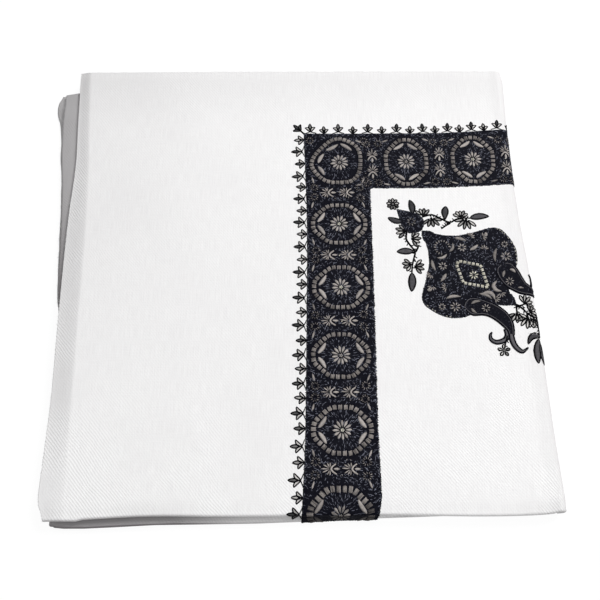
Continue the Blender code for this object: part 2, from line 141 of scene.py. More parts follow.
def start_finish(name, **values):
    """A new material with its shader's constant values, its shader and a first wire."""
    made = bpy.data.materials.new(name)
    made.use_nodes = True
    shader = made.node_tree.nodes["Principled BSDF"]
    for socket, value in values.items():
        shader.inputs[socket.replace("_", " ")].default_value = value
    return made, shader, Wire(made.node_tree)


def feed(shader, **wires):
    for socket, wire in wires.items():
        wire.tree.links.new(wire.socket, shader.inputs[socket.replace("_", " ")])


table_finish, shader, wire = start_finish("white_table", Roughness=0.9, Emission_Color=(1, 1, 1, 1),
                                          Emission_Strength=TABLE_GLOW)
place = wire.node("ShaderNodeNewGeometry")
tint = place.speckle(3.0).held(0.3, 0.7)
feed(shader, Base_Color=blend(tint, *TABLE_TONES))

table_mesh = bpy.data.meshes.new("table")
corners = [(-TABLE_REACH, -TABLE_REACH), (TABLE_REACH, -TABLE_REACH),
           (TABLE_REACH, TABLE_REACH), (-TABLE_REACH, TABLE_REACH)]
table_mesh.from_pydata([(x, y, -TABLE_SINK) for x, y in corners], [], [(0, 1, 2, 3)])
table_mesh.materials.append(table_finish)
table = bpy.data.objects.new("table", table_mesh)
scene.collection.objects.link(table)

LIGHTS = {"name": ("key", "overhead"),
          "x": (1.7, 0.1), "y": (1.5, -0.7), "z": (2.5, 2.6),
          "size": (1.6, 1.8), "power": (93.0, 22.0)}
for name, x, y, z, size, power in zip(*LIGHTS.values()):
    lamp = bpy.data.lights.new(name, "AREA")
    lamp.size = size
    lamp.energy = power
    stand = bpy.data.objects.new(name, lamp)
    stand.location = (x, y, z)
    stand.rotation_euler = (0, math.atan2(math.hypot(x, y), z), math.atan2(y, x))
    scene.collection.objects.link(stand)

room = bpy.data.worlds.new("soft_room")
room.use_nodes = True
room.node_tree.nodes["Background"].inputs["Color"].default_value = ROOM_COLOUR
room.node_tree.nodes["Background"].inputs["Strength"].default_value = ROOM_GLOW
scene.world = room


# The shawl's cloth: one length of white wool twill, 2 m long and 1 m wide. It is doubled across
# its width, with the fold at the front, and then folded to a quarter of its length, so eight
# plies lie on each other. The raw ends are at the left. All sizes below are in millimetres.
MIDDLE = np.array((-13.927, -4.776, 0.0))
PACK_HEIGHT = 18.0
CLOTH = 0.5
WRAP_RADIUS = 9.0
FRONT_RADIUS = 2.7
LOW_FRONT_RADIUS = 2.0
LEFT_RADIUS = 4.286
LEFT_INSET = 4.0
NEST_RADIUS = 0.43
NEST_INSET = 10.0
NEST_LEVEL = 9.0
FRONT_SETBACK = 9
BACK_SETBACK = 0.9
PLY_GAP = 3.6
LEFT_EDGE = {"y": (-258, -251, -242, -211, -142, -39, 59, 131, 183, 254),
             "x": (-246.5, -248.8, -252.3, -252.2, -251, -253.4, -254.5, -253, -255.7, -259)}
RIGHT_FOLD = {"y": (-250, -182, -121, -45, 6, 78, 168, 239, 256),
              "x": (258, 254.4, 252.4, 249.3, 246.5, 241.5, 239, 240.0, 239)}
FRONT_FOLD = {"x": (-254, -243, -209, -148, -76, 76, 181, 240, 258),
              "y": (-259, -260.7, -258, -255.2, -255.5, -254, -255, -253, -249)}
LOW_FRONT_FOLD = {"x": (-250, -239, -207, -150, -77, -19, 29, 77, 258),
                  "y": (-263.6, -265.2, -265, -262, -261, -259.8, -257, -255.5, -249)}
BACK_EDGE = {"x": (-259, 0, 237), "y": (254, 255.5, 256)}
INNER_BACK_EDGE = {"x": (-285, -120, 237), "y": (228, 241, 252)}
END_UPPER = {"y": (-250, -80, -46, -10, 41, 112, 157, 190, 218, 228),
             "x": (-248, -250, -256, -259, -262, -268, -274, -276, -277.5, -275)}
END_LOWER = {"y": (-250, -57, -32, 9, 72, 112, 147, 162, 190, 205, 218, 228),
             "x": (-248.5, -252, -258, -261.8, -266.4, -270, -275, -276, -280, -285.2, -285.2, -281)}
HEADING = {"y": (-256, -57, 78, 254), "x": (-228, -232.5, -236, -248)}
TROUGHS = {"x0": (-205, -75, 130, 150, -150, -20, 205, -120, 205),
           "y0": (235, -250, -235, 250, -252, 240, -215, 60, 240),
           "x1": (-170, -105, 225, 168, -118, -45, 120, -210, 215),
           "y1": (-90, 70, -140, 176, -195, 90, -120, 150, 90),
           "width": (42, 56, 40, 22, 18, 46, 30, 48, 20),
           "depth": (0.55, 0.5, -0.4, 0.35, 0.3, -0.45, 0.3, -0.4, 0.3)}


def through(table, column, at, by):
    """A smooth curve through a table's rows: one column's values where another is `at`."""
    places = np.array(table[by], float)
    values = np.array(table[column], float)
    gap = np.diff(places)
    slope = np.empty(len(places))
    slope[0] = (values[1] - values[0]) / gap[0]
    slope[-1] = (values[-1] - values[-2]) / gap[-1]
    slope[1:-1] = (values[2:] - values[:-2]) / (places[2:] - places[:-2])
    spot = np.clip(at, places[0], places[-1])
    i = np.clip(np.searchsorted(places, spot, side="right") - 1, 0, len(gap) - 1)
    t = (spot - places[i]) / gap[i]
    first = (2 * t**3 - 3 * t**2 + 1) * values[i] + (t**3 - 2 * t**2 + t) * gap[i] * slope[i]
    last = (3 * t**2 - 2 * t**3) * values[i + 1] + (t**3 - t**2) * gap[i] * slope[i + 1]
    return first + last


def ease(t):
    t = np.clip(t, 0, 1)
    return t * t * (3 - 2 * t)


def soft_height(x, y):
    """How far the top leaf's face stands off its level: slow waves, troughs, rounded edges."""
    to_left = x - through(LEFT_EDGE, "x", y, "y")
    to_heading = x - through(HEADING, "x", y, "y")
    to_right = through(RIGHT_FOLD, "x", y, "y") - WRAP_RADIUS - x
    to_front = y - through(FRONT_FOLD, "y", x, "x") - FRONT_RADIUS
    to_back = through(BACK_EDGE, "y", x, "x") - y
    rise = 0.3 * np.sin(x / 58 + 0.6 + 0.5 * np.sin(y / 90)) * np.sin(y / 71 + 1.1)
    rise = rise + 0.12 * np.sin(x / 23 + y / 61) * np.sin(y / 29 + 0.7 + x / 90)
    for x0, y0, x1, y1, width, depth in zip(*TROUGHS.values()):
        run = np.array((x1 - x0, y1 - y0), float)
        length = np.hypot(*run)
        along = ((x - x0) * run[0] + (y - y0) * run[1]) / length
        off = ((y - y0) * run[0] - (x - x0) * run[1]) / length
        past = np.maximum(0, np.maximum(-along, along - length))
        rise = rise - depth * np.exp(-(off / width)**2 - (past / width)**2)
    calm = ease(to_front / 30) * ease(to_right / 34) * ease(to_left / 40)
    calm = calm * (0.4 + 0.6 * ease(to_back / 30))
    drop = 2.0 * (1 - ease(to_left / np.maximum(to_left - to_heading, 1)))
    drop = drop + 0.55 * (1 - ease(to_front / 11)) + 0.9 * (1 - ease(to_back / 10))
    return rise * calm - drop


UNDER_ROWS = np.array((0, 0.08, 0.17, 0.27, 0.38, 0.5, 0.62, 0.74, 0.85, 0.93, 0.965, 0.985, 1.0))
ROLL_ANGLES = np.linspace(math.pi, 0, 11)[1:-1]
NEAR_FRONT = np.array((0, 0.5, 1.1, 2, 3.2, 4.8, 6.8, 9.2, 12.5))
NEAR_BACK = np.array((9, 6.3, 4, 2.2, 1, 0.3, 0))
MIDDLE_ROWS = 88
roll_start = len(UNDER_ROWS)
outer_start = roll_start + len(ROLL_ANGLES)
row_count = outer_start + len(NEAR_FRONT) + MIDDLE_ROWS + len(NEAR_BACK) - 1


def section(line, radius, gap, back):
    """One crosswise section: Y, depth and cloth coordinate from ply to ply round the front fold."""
    seam = line + radius
    under_y = back - 1.4 - (back - 1.4 - seam) * UNDER_ROWS
    under_depth = -gap - (2 * radius - gap) * (1 - ease((under_y - seam) / 16))
    roll_y = line + radius * (1 - np.sin(ROLL_ANGLES))
    roll_depth = radius * (np.cos(ROLL_ANGLES) - 1)
    middle = np.linspace(seam + NEAR_FRONT[-1], back - NEAR_BACK[0], MIDDLE_ROWS + 1)
    outer_y = np.concatenate((seam + NEAR_FRONT, middle[1:-1], back - NEAR_BACK))
    y = np.concatenate((under_y, roll_y, outer_y))
    depth = np.concatenate((under_depth, roll_depth, 0 * outer_y))
    under_width = seam - math.pi * radius - (under_y - seam)
    return y, depth, np.concatenate((under_width, seam - radius * ROLL_ANGLES, outer_y))


# Shares of shade: what a place always has, and what comes to it where the shade is deepest
SHADE = {"roll": (0.25, 0.35), "under": (0.06, 0.8), "heading": (0.05, 0.15), "left": 0.085,
         "back": 0.10, "right": 0.08, "front": (0.09, 0.12), "wrap": (0.08, 0.26),
         "lower_end": 0.64, "upper_end": (0.57, -0.47)}
END_DROOP = 0.13
END_CURL = {"lower": 0.035, "upper": 0.02, "power": 1.4}
RUFFLE = {"lower": 0.55, "upper": 0.2}
TUCK_LEAN = 1.6

HEADING_SHARES = (0, 0.03, 0.09, 0.2, 0.35, 0.5, 0.66, 0.82, 0.94, 1.0)
PAST_HEADING = (0.7, 1.8, 3.5, 6, 9.5, 14)
FLOOR_SHARES = (0, 0.02, 0.06, 0.12, 0.2, 0.3, 0.4, 0.5, 0.6, 0.7, 0.8, 0.88, 0.94, 0.98, 1)
THIRD_SHARES = (0, 0.01, 0.03, 0.07, 0.14, 0.24, 0.36, 0.5, 0.64, 0.78, 0.9, 0.97, 1)
FOURTH_SHARES = (0, 0.03, 0.1, 0.22, 0.36, 0.5, 0.64, 0.76, 0.86, 0.9)
DROOP_SHARES = (0.25, 0.4, 0.52, 0.62, 0.7, 0.77, 0.83, 0.88, 0.92, 0.96, 1)

# Columns: the leaf they belong to, a place along it, and a nominal X for the tables
columns = [("top", ("heading", share), -250) for share in HEADING_SHARES]
columns += [("top", ("field", past), -230) for past in PAST_HEADING]
columns += [("top", ("open", share), -215 + 465 * share) for share in np.linspace(0, 1, 88)]
columns += [("wrap", math.pi * i / 14, 250) for i in range(1, 14)]
columns += [("floor", share, 245 - 490 * share) for share in FLOOR_SHARES]
columns += [("left", math.pi * i / 10, -250) for i in range(1, 10)]
columns += [("third", share, -248 + 490 * share) for share in THIRD_SHARES]
columns += [("nest", math.pi * i / 6, 245) for i in range(1, 6)]
columns += [("fourth", share, 245 - 500 * share) for share in FOURTH_SHARES]
columns += [("fourth", 0.9 + 0.1 * share, -250 - 25 * share) for share in DROOP_SHARES]

ply = np.arange(row_count) >= (roll_start + outer_start) / 2
points, paths, flats, tints, ribs = [], [], [], [], []
for leaf, run, x_near in columns:
    high = through(FRONT_FOLD, "y", x_near, "x")
    low = through(LOW_FRONT_FOLD, "y", x_near, "x")
    radius = LOW_FRONT_RADIUS + (FRONT_RADIUS - LOW_FRONT_RADIUS) * ease((x_near + 230) / 420)
    back = through(BACK_EDGE, "y", x_near, "x")
    to_right = ease((x_near - 60) / 160)
    near_left = 1 - ease((x_near + 150) / 120)
    if leaf in ("top", "wrap"):
        y, depth, width = section(high, FRONT_RADIUS, PLY_GAP + 0.2, back)
    elif leaf == "floor":
        y, depth, width = section(low, radius, PLY_GAP, back - BACK_SETBACK * (1 - to_right))
    elif leaf in ("left", "third"):
        y, depth, width = section(low + FRONT_SETBACK * to_right, LOW_FRONT_RADIUS, PLY_GAP,
                                  back - BACK_SETBACK - 2.5 * to_right)
    else:
        nested = low + FRONT_SETBACK
        start = nested if leaf == "nest" else high + 10 + (nested - high - 10) * to_right
        behind = through(INNER_BACK_EDGE, "y", x_near, "x") + 0.5 * to_right
        y, depth, width = section(start, LOW_FRONT_RADIUS, PLY_GAP, behind)
    left = through(LEFT_EDGE, "x", y, "y")
    right = through(RIGHT_FOLD, "x", y, "y") - WRAP_RADIUS
    heading = through(HEADING, "x", y, "y")
    fold = left + LEFT_INSET + LEFT_RADIUS
    nest = right + WRAP_RADIUS - NEST_INSET
    angle = np.where(ply, 0.0, 1.0)
    angle[roll_start:outer_start] = ROLL_ANGLES / math.pi
    shade = (SHADE["roll"][0] + SHADE["roll"][1] * near_left) * ease((angle - 0.03) / 0.4)
    under_leaf = SHADE["under"][0] + SHADE["under"][1] * near_left
    rib = 1 - 0.7 * ease((y + 225) / 150)
    lean = np.where(ply, 0.0, TUCK_LEAN)
    if leaf == "top":
        kind, share = run
        starts = left + lean
        x = {"heading": starts + (heading - starts) * share, "field": heading + share,
             "open": heading + 20 + (right - heading - 20) * share}[kind]
        rise = soft_height(x, np.maximum(y, high + FRONT_RADIUS))
        path = np.stack((x, 0 * x + PACK_HEIGHT), 1)
        point = np.stack((x, y, PACK_HEIGHT + rise + depth), 1)
        if kind == "heading":
            rib = np.maximum(rib, 0.95)
        over_fold = 1 - ease((x - heading + 1) / 3.5)
        near_front = 1 - ease((y - high - 3) / 16)
        shade = shade + over_fold * (SHADE["heading"][0] + SHADE["heading"][1] * ease((y + 235) / 120))
        shade = shade + SHADE["left"] * ease((y + 150) / 250) * (1 - ease((x + 250) / 190))
        shade = shade + SHADE["back"] * (1 - ease((back - y) / 90))
        shade = shade + SHADE["right"] * ease((x - right + 14) / 14)
        shade = shade + near_front * SHADE["front"][0] * np.exp(-((x + 150) / 38)**2)
        shade = shade + near_front * SHADE["front"][1] * ease((x - 190) / 60)
    elif leaf == "wrap":
        rise = soft_height(right, np.maximum(y, high + FRONT_RADIUS)) * ease(2 - 2 * run / math.pi)
        reach = WRAP_RADIUS + rise + depth
        path = np.stack((right + WRAP_RADIUS * math.sin(run),
                         0 * y + WRAP_RADIUS * (1 + math.cos(run))), 1)
        point = np.stack((right + reach * math.sin(run), y, WRAP_RADIUS + reach * math.cos(run)), 1)
        shade = shade + SHADE["wrap"][0] + SHADE["wrap"][1] * math.sin(run)
    elif leaf == "floor":
        x = right + (fold - right) * run
        path = np.stack((x, 0 * x), 1)
        point = np.stack((x, y, -depth), 1)
        shade = shade + under_leaf
    elif leaf == "left":
        reach = LEFT_RADIUS + depth
        path = np.stack((fold - LEFT_RADIUS * math.sin(run),
                         0 * y + LEFT_RADIUS * (1 - math.cos(run))), 1)
        point = np.stack((fold - reach * math.sin(run), y, LEFT_RADIUS - reach * math.cos(run)), 1)
        shade = shade + under_leaf
    elif leaf == "third":
        x = fold + (nest - fold) * run
        path = np.stack((x, 0 * x + 2 * LEFT_RADIUS), 1)
        point = np.stack((x, y, 2 * LEFT_RADIUS + depth), 1)
        shade = shade + under_leaf
    elif leaf == "nest":
        reach = NEST_RADIUS - depth
        path = np.stack((nest + NEST_RADIUS * math.sin(run),
                         0 * y + NEST_LEVEL - NEST_RADIUS * math.cos(run)), 1)
        point = np.stack((nest + reach * math.sin(run), y, NEST_LEVEL - reach * math.cos(run)), 1)
        shade = shade + under_leaf
    else:
        end = np.where(ply, through(END_LOWER, "x", y, "y"), through(END_UPPER, "x", y, "y"))
        x = nest + (end - nest) * run
        past = np.maximum(left - x, 0)
        level = NEST_LEVEL + NEST_RADIUS - depth
        ruffle = np.sin(y / 6.8 + 0.9 * np.sin(y / 31)) + 0.5 * np.sin(y / 3.1 + 1)
        curl = np.where(ply, END_CURL["lower"], END_CURL["upper"]) * past**END_CURL["power"]
        wave = np.where(ply, RUFFLE["lower"], RUFFLE["upper"]) * ruffle * np.minimum(past / 8, 1)
        level = level - END_DROOP * past - curl + wave
        path = np.stack((x, 0 * x + NEST_LEVEL + NEST_RADIUS), 1)
        point = np.stack((x, y, level), 1)
        upper = SHADE["upper_end"][0] + SHADE["upper_end"][1] * ease((y + 120) / 260)
        shade = shade + np.where(ply, SHADE["lower_end"], upper)
        rib = np.maximum(rib, 0.8)
    points.append(point)
    paths.append(path)
    flats.append(width)
    tints.append(shade)
    ribs.append(np.broadcast_to(rib, shade.shape))

points = np.array(points)
steps = np.linalg.norm(np.diff(np.array(paths), axis=0), axis=2)
lengths = np.concatenate((points[:1, :, 0], steps)).cumsum(axis=0)
flat_places = np.stack((lengths, np.array(flats), 0 * lengths), 2)


def build_mesh(name, places, loops, sizes, finishes):
    """A mesh from places in metres and faces given as one run of corners with their counts."""
    mesh = bpy.data.meshes.new(name)
    mesh.vertices.add(len(places))
    mesh.vertices.foreach_set("co", np.asarray(places, np.float32).ravel())
    mesh.loops.add(len(loops))
    mesh.loops.foreach_set("vertex_index", np.asarray(loops, np.int32))
    mesh.polygons.add(len(sizes))
    starts = np.concatenate(((0,), np.cumsum(sizes)[:-1]))
    mesh.polygons.foreach_set("loop_start", starts.astype(np.int32))
    mesh.update(calc_edges=True)
    for finish in finishes:
        mesh.materials.append(finish)
    mesh.shade_smooth()
    made = bpy.data.objects.new(name, mesh)
    scene.collection.objects.link(made)
    return made


def mark(piece, name, values, kind="FLOAT"):
    """Keep a number or a vector at each point of a piece for its material to read."""
    kept = piece.data.attributes.new(name, kind, "POINT")
    kept.data.foreach_set("vector" if kind == "FLOAT_VECTOR" else "value",
                          np.asarray(values, np.float32).ravel())


def grid_faces(across, along):
    """Corners of the faces of a grid whose points run along first."""
    i, j = np.meshgrid(np.arange(across - 1), np.arange(along - 1), indexing="ij")
    corner = (i * along + j).ravel()
    return np.stack((corner, corner + along, corner + along + 1, corner + 1), 1)


RIB_PITCH = 2.5
RIB_RUN = (0.766, 0.643)
WOOL_TONES = ((0.785, 0.77, 0.77, 1), (0.955, 0.95, 0.945, 1))
SHADE_COLOUR = (0.175, 0.16, 0.166, 1)

cloth_finish, shader, wire = start_finish("white_wool_twill", Roughness=0.86, Sheen_Weight=0.18,
                                          Sheen_Roughness=0.5, Specular_IOR_Level=0.25)
flat = wire.node("ShaderNodeAttribute", {"attribute_name": "flat"}, out=1)
shade = wire.node("ShaderNodeAttribute", {"attribute_name": "shade"}, out=2)
rib_depth = wire.node("ShaderNodeAttribute", {"attribute_name": "rib"}, out=2)
flat_x = wire.node("ShaderNodeSeparateXYZ", None, {0: flat}, out=0)
flat_y = wire.node("ShaderNodeSeparateXYZ", None, {0: flat}, out=1)
drift = flat.speckle(0.03) * 5.0
rib_place = flat_x * RIB_RUN[0] + flat_y * RIB_RUN[1] + drift
rib = (rib_place * (2 * math.pi / RIB_PITCH)).sine()
yarn = flat.stretched((1.5, 0.05, 1)).speckle(1.0, 3.0)
cross_yarn = flat.stretched((0.06, 1.1, 1)).speckle(1.0, 3.0)
nap = flat.speckle(0.9, 4.0, 0.65)
patches = flat.speckle(0.013, 2.0)
rib_share = rib_depth * patches.held(0.3, 0.65)
streaks = yarn * 0.6 + cross_yarn * 0.25 + nap * 0.3
light = streaks.held(0.35, 0.8) * 0.55 + (rib * 0.5 + 0.5) * rib_share * 0.52 + 0.15
pale = blend(light, *WOOL_TONES)
shaded = blend(shade * 0.9, pale, SHADE_COLOUR)
relief = rib * rib_share * 0.24 + yarn * 0.12 + nap * 0.16
bump = wire.node("ShaderNodeBump", None, {"Strength": 0.8, "Distance": 0.0006, "Height": relief})
feed(shader, Base_Color=shaded, Normal=bump)

faces = grid_faces(len(columns), row_count)
shawl = build_mesh("shawl_cloth", (points.reshape(-1, 3) - MIDDLE) / 1000, faces.ravel(),
                   np.full(len(faces), 4), [cloth_finish])
on_top = (row_count - 1) * 40 + outer_start + 30
if shawl.data.polygons[on_top].normal.z < 0:
    shawl.data.flip_normals()
mark(shawl, "flat", flat_places, "FLOAT_VECTOR")
mark(shawl, "shade", np.array(tints))
mark(shawl, "rib", np.array(ribs))
wall = shawl.modifiers.new("wall", "SOLIDIFY")
wall.thickness = CLOTH / 1000
wall.offset = -1
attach(shawl, "root")
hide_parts("outer_ply", "folded_layers", "inner_end_upper", "inner_end_lower")


# Border: bands of needlework across the shawl's end and along its side, which meet at a corner.
# Close dark blue silk stitches fill them, like rays round each medallion and every way between,
# and make their edges ragged. At the front the stiff band hangs down over the folds below it.
END_BAND = {"y": (-274, -258, -235, -172, -62, 53, 170),
            "outer": (1.2, 1.7, 2.8, 5.3, 6.8, 7.6, 4.2),
            "inner": (73.5, 75.2, 78.4, 77.5, 78, 78, 77.5)}
SIDE_BAND = {"x": (78, 160, 238, 262), "outer": (169.5, 170.5, 175.5, 176.5),
             "inner": (98.7, 100, 104.5, 105.5)}
CORNER_TOP = 169.5
CORNER_ROUND = 5.0
ROUND_FRONT = 18.5
HANG_DROP = 8.0
HANG_JUT = 0.9
ROUND_RIGHT = 22.0
OCTAGON_POINT = 0.26
OCTAGON_FLAT = 0.5
SUNK = -0.1
ON_CLOTH = -0.05
GROUND_LOW = 0.2
GROUND_TOP = 0.4
MEDALLIONS = {"x": (40.8, 42.7, 43.4, 42.1, 42.1, 39.0, 119.5, 195.0, 270.5),
              "y": (132.3, 54.5, -19.9, -95.2, -172.3, -255.0, 132.4, 135.7, 138.5),
              "across": (29.5, 31, 31, 31, 31.5, 33, 31, 31, 31),
              "along": (28.5, 25, 25, 25, 25.5, 28.5, 25, 25, 25),
              "block": (2.5, 2.5, 2.5, 2.5, 2.7, 3.5, 2.5, 2.5, 2.5),
              "turned": (0, 0, 0, 0, 0, 0, 1, 1, 1),
              "flower_x": (3.6, 0, 0, 0, 0, 0, 0, 0, 0),
              "flower_y": (-0.9, 0, 0, 0, 0, 0, 0, 0, 0)}


def towards(angle):
    """A step of 1 at an angle, or one for each of several angles."""
    return np.stack((np.cos(angle), np.sin(angle)), -1)


def left_of(run):
    """Steps of 1 to the left of each of several runs."""
    return np.stack((-run[:, 1], run[:, 0]), 1) / np.maximum(np.hypot(*run.T), 1e-6)[:, None]


class Needlework:
    """Stitches and pads of one piece, kept as places on the flat cloth and heights above it."""

    # A stitch's faces: at its tips, along its ridge and under it
    TIPS = ((0, 5, 6), (4, 3, 7), (3, 2, 7), (1, 0, 6))
    FLANKS = ((5, 4, 7, 6), (2, 1, 6, 7))
    FOOT = ((0, 1, 2, 3, 4, 5),)

    def __init__(self):
        self.points, self.loops, self.sizes, self.tones, self.slots = [], [], [], [], []
        self.total = 0

    def add(self, points, face_groups, tone, slot=0):
        for faces in face_groups:
            self.loops.append((np.asarray(faces) + self.total).ravel())
            self.sizes.append(np.full(len(faces), np.shape(faces)[1]))
            self.slots.append(np.full(len(faces), slot))
        self.points.append(points)
        self.tones.append(np.broadcast_to(tone, len(points)))
        self.total += len(points)

    def reaches(self, places):
        """Which places lie on the part of the cloth that shows."""
        x, y = places[..., 0], places[..., 1]
        seam = through(FRONT_FOLD, "y", x, "x") + FRONT_RADIUS
        start = through(RIGHT_FOLD, "x", np.maximum(y, seam), "y") - WRAP_RADIUS
        return (x - start < ROUND_RIGHT) & (seam - y < ROUND_FRONT)

    def stitches(self, starts, ends, width, low, high, tone, slot=0, taper=0.18):
        """Separate stitches: each a slim closed body with a ridge along its top."""
        starts = np.atleast_2d(np.asarray(starts, float))
        ends = np.atleast_2d(np.asarray(ends, float))
        shown = self.reaches(starts) & self.reaches(ends)
        width = np.broadcast_to(width, len(starts))[shown]
        tone = np.broadcast_to(tone, len(starts))[shown]
        starts, ends = starts[shown], ends[shown]
        count = len(starts)
        run = ends - starts
        side = left_of(run) * width[:, None] / 2
        ridge = 1.6 * taper
        along = np.array((0, taper, 1 - taper, 1, 1 - taper, taper, ridge, 1 - ridge))[None, :, None]
        off = np.array((0, 1, 1, 0, -1, -1, 0, 0))[None, :, None]
        up = np.array((0, 0, 0, 0, 0, 0, 1, 1))
        places = starts[:, None] + run[:, None] * along + side[:, None] * off
        heights = np.broadcast_to(low + (high - low) * up, (count, 8))
        points = np.concatenate((places, heights[..., None]), 2).reshape(-1, 3)
        first = (8 * np.arange(count))[:, None, None]
        groups = [np.array(faces) + first for faces in (self.TIPS, self.FLANKS, self.FOOT)]
        self.add(points, [g.reshape(-1, g.shape[-1]) for g in groups], np.repeat(tone, 8), slot)

    def ribbon(self, line, halves, low, rise, tone, slot=0, across=5, closed=False):
        """A rounded pad along a line: a leaf, a petal, a cord or an outline."""
        line = np.asarray(line, float)
        halves = np.broadcast_to(halves, len(line)).astype(float)
        shown = self.reaches(line)
        if not shown.all():
            if closed:
                turn = int(np.argmin(shown))
                line, halves, shown = (np.roll(kept, -turn, axis=0) for kept in (line, halves, shown))
                closed = False
            line, halves = line[shown], halves[shown]
        count = len(line)
        if count < 3:
            return
        if closed:
            run = np.roll(line, -1, axis=0) - np.roll(line, 1, axis=0)
        else:
            run = np.gradient(line, axis=0)
        side = left_of(run)
        off = np.linspace(-1, 1, across)
        places = line[:, None] + side[:, None] * (halves[:, None] * off)[..., None]
        heights = np.broadcast_to(low + rise * np.sqrt(1 - off**2), (count, across))
        points = np.concatenate((places, heights[..., None]), 2).reshape(-1, 3)
        last = count if closed else count - 1
        i, j = (k.ravel() for k in np.meshgrid(np.arange(last), np.arange(across - 1), indexing="ij"))
        following = (i + 1) % count
        top = np.stack((i * across + j, following * across + j, following * across + j + 1,
                        i * across + j + 1), 1)
        root = np.arange(last) * across
        following = (np.arange(last) + 1) % count * across
        base = np.stack((root, root + across - 1, following + across - 1, following), 1)
        groups = [np.concatenate((top, base))]
        if not closed:
            cap = np.arange(across)
            groups.append(np.stack((cap, ((count - 1) * across + cap)[::-1])))
        self.add(points, groups, tone, slot)

    def panel(self, x, y, low, high, tone, slot=0):
        """A flat closed pad over a grid of places, its rim rounded down to the cloth."""
        rows, ranks = x.shape
        inner = np.zeros(x.shape)
        inner[1:-1, 1:-1] = 1
        top = np.stack((x, y, low + (high - low) * (0.45 + 0.55 * inner)), 2).reshape(-1, 3)
        base = np.stack((x, y, low + 0 * x), 2).reshape(-1, 3)
        over = grid_faces(rows, ranks)
        count = rows * ranks
        grid = np.arange(count).reshape(rows, ranks)
        rim = np.concatenate((grid[:, 0], grid[-1, 1:], grid[-2::-1, -1], grid[0, -2:0:-1]))
        after = np.roll(rim, -1)
        wall = np.stack((rim + count, after + count, after, rim), 1)
        faces = np.concatenate((over, over[:, ::-1] + count, wall))
        self.add(np.concatenate((top, base)), [faces], tone, slot)

    def sew(self, name, finishes):
        """Lay everything on the cloth's face, round the right fold and down over the front one."""
        x, y, lift = np.concatenate(self.points).T
        seam = through(FRONT_FOLD, "y", x, "x") + FRONT_RADIUS
        over = np.clip((seam - y) / FRONT_RADIUS, 0, math.pi / 2)
        hang = np.maximum(seam - y - FRONT_RADIUS * math.pi / 2, 0)
        lower = through(LOW_FRONT_FOLD, "y", x, "x") + FRONT_RADIUS
        jut = HANG_JUT + np.maximum(seam - lower, 0)
        leg = np.minimum(hang, np.hypot(jut, HANG_DROP))
        lean = leg / np.hypot(jut, HANG_DROP)
        face_y = np.maximum(y, seam)
        start = through(RIGHT_FOLD, "x", face_y, "y") - WRAP_RADIUS
        turn = np.maximum(x - start, 0) / WRAP_RADIUS
        face_x = np.minimum(x, start)
        rise = soft_height(face_x, face_y) * np.where(turn > 0, ease(2 - 2 * turn / math.pi), 1)
        depth = rise + FRONT_RADIUS * (np.cos(over) - 1) + lift * np.cos(over)
        places = np.stack((face_x + (WRAP_RADIUS + depth) * np.sin(turn),
                           face_y - (FRONT_RADIUS + lift) * np.sin(over) - jut * lean,
                           WRAP_RADIUS + (WRAP_RADIUS + depth) * np.cos(turn)
                           - HANG_DROP * lean - (hang - leg)), 1)
        made = build_mesh(name, (places - MIDDLE) / 1000, np.concatenate(self.loops),
                          np.concatenate(self.sizes), finishes)
        made.data.polygons.foreach_set("material_index", np.concatenate(self.slots).astype(np.int32))
        shaded = 0.35 * ease((seam + 14 - y) / 14) + 0.45 * ease((seam - 1 - y) / 4)
        mark(made, "tone", np.concatenate(self.tones) * (1 - shaded))
        return made


def thread_finish(name, dark, light, roughness):
    """Silk or wool thread: each stitch has its own tone, with flecks where the fibres turn."""
    made, shader, wire = start_finish(name, Roughness=roughness, Specular_IOR_Level=0.06)
    tone = wire.node("ShaderNodeAttribute", {"attribute_name": "tone"}, out=2)
    place = wire.node("ShaderNodeTexCoord", out=3)
    fibres = place.speckle(1400.0, 3.0, 0.6)
    wear = place.speckle(420.0, 2.0)
    share = (tone * (0.5 + wear) * 0.97 + (fibres - 0.5) * 0.3).held(0.0, 1.0)
    bump = wire.node("ShaderNodeBump", None, {"Strength": 0.7, "Distance": 0.0003, "Height": fibres})
    feed(shader, Base_Color=blend(share, (*dark, 1), (*light, 1)), Normal=bump)
    return made


def octagon_share(u, v, across, along):
    """How far a place is towards a medallion's edge: 1 lies on the edge."""
    point, flat = across * OCTAGON_POINT, along * OCTAGON_FLAT
    normal = np.array((along - point, across - flat))
    reach = (across * normal[0] + point * normal[1]) / np.hypot(*normal)
    slant = (np.abs(u) * normal[0] + np.abs(v) * normal[1]) / np.hypot(*normal) / reach
    return np.maximum(np.maximum(np.abs(u) / across, np.abs(v) / along), slant)


GROUND_TONE = 0.05
STITCH_STEP = 1.95
STITCH_SHIFT = 0.8
STITCH_LENGTH = 3.3
DARK_STITCHES = 0.54
EDGE_STEP = 1.25

draw = np.random.default_rng(7)
border = Needlework()
front_end = through(FRONT_FOLD, "y", 40, "x") + FRONT_RADIUS - ROUND_FRONT + 0.1
share = np.linspace(0, 1, 27)[:, None]
y = np.concatenate((np.linspace(front_end, -258.5, 9), np.linspace(-257.6, -250.6, 18),
                    np.linspace(-248.5, CORNER_TOP, 146)))[None, :] + 0 * share
ragged = 0.45 * draw.standard_normal((2, y.shape[1]))
outer = through(END_BAND, "outer", y[0], "y") + 0.4 * ragged[0]
inner = through(END_BAND, "inner", y[0], "y") + ragged[1]
border.panel(outer + (inner - outer) * share, y, SUNK, GROUND_TOP, GROUND_TONE)
x = np.linspace(float(through(END_BAND, "inner", 130, "y")) - 6, 231 + ROUND_RIGHT - 0.1, 66)
ragged = 0.45 * draw.standard_normal((2, len(x)))
outer = through(SIDE_BAND, "outer", x, "x") + 0.4 * ragged[0]
inner = through(SIDE_BAND, "inner", x, "x") + ragged[1]
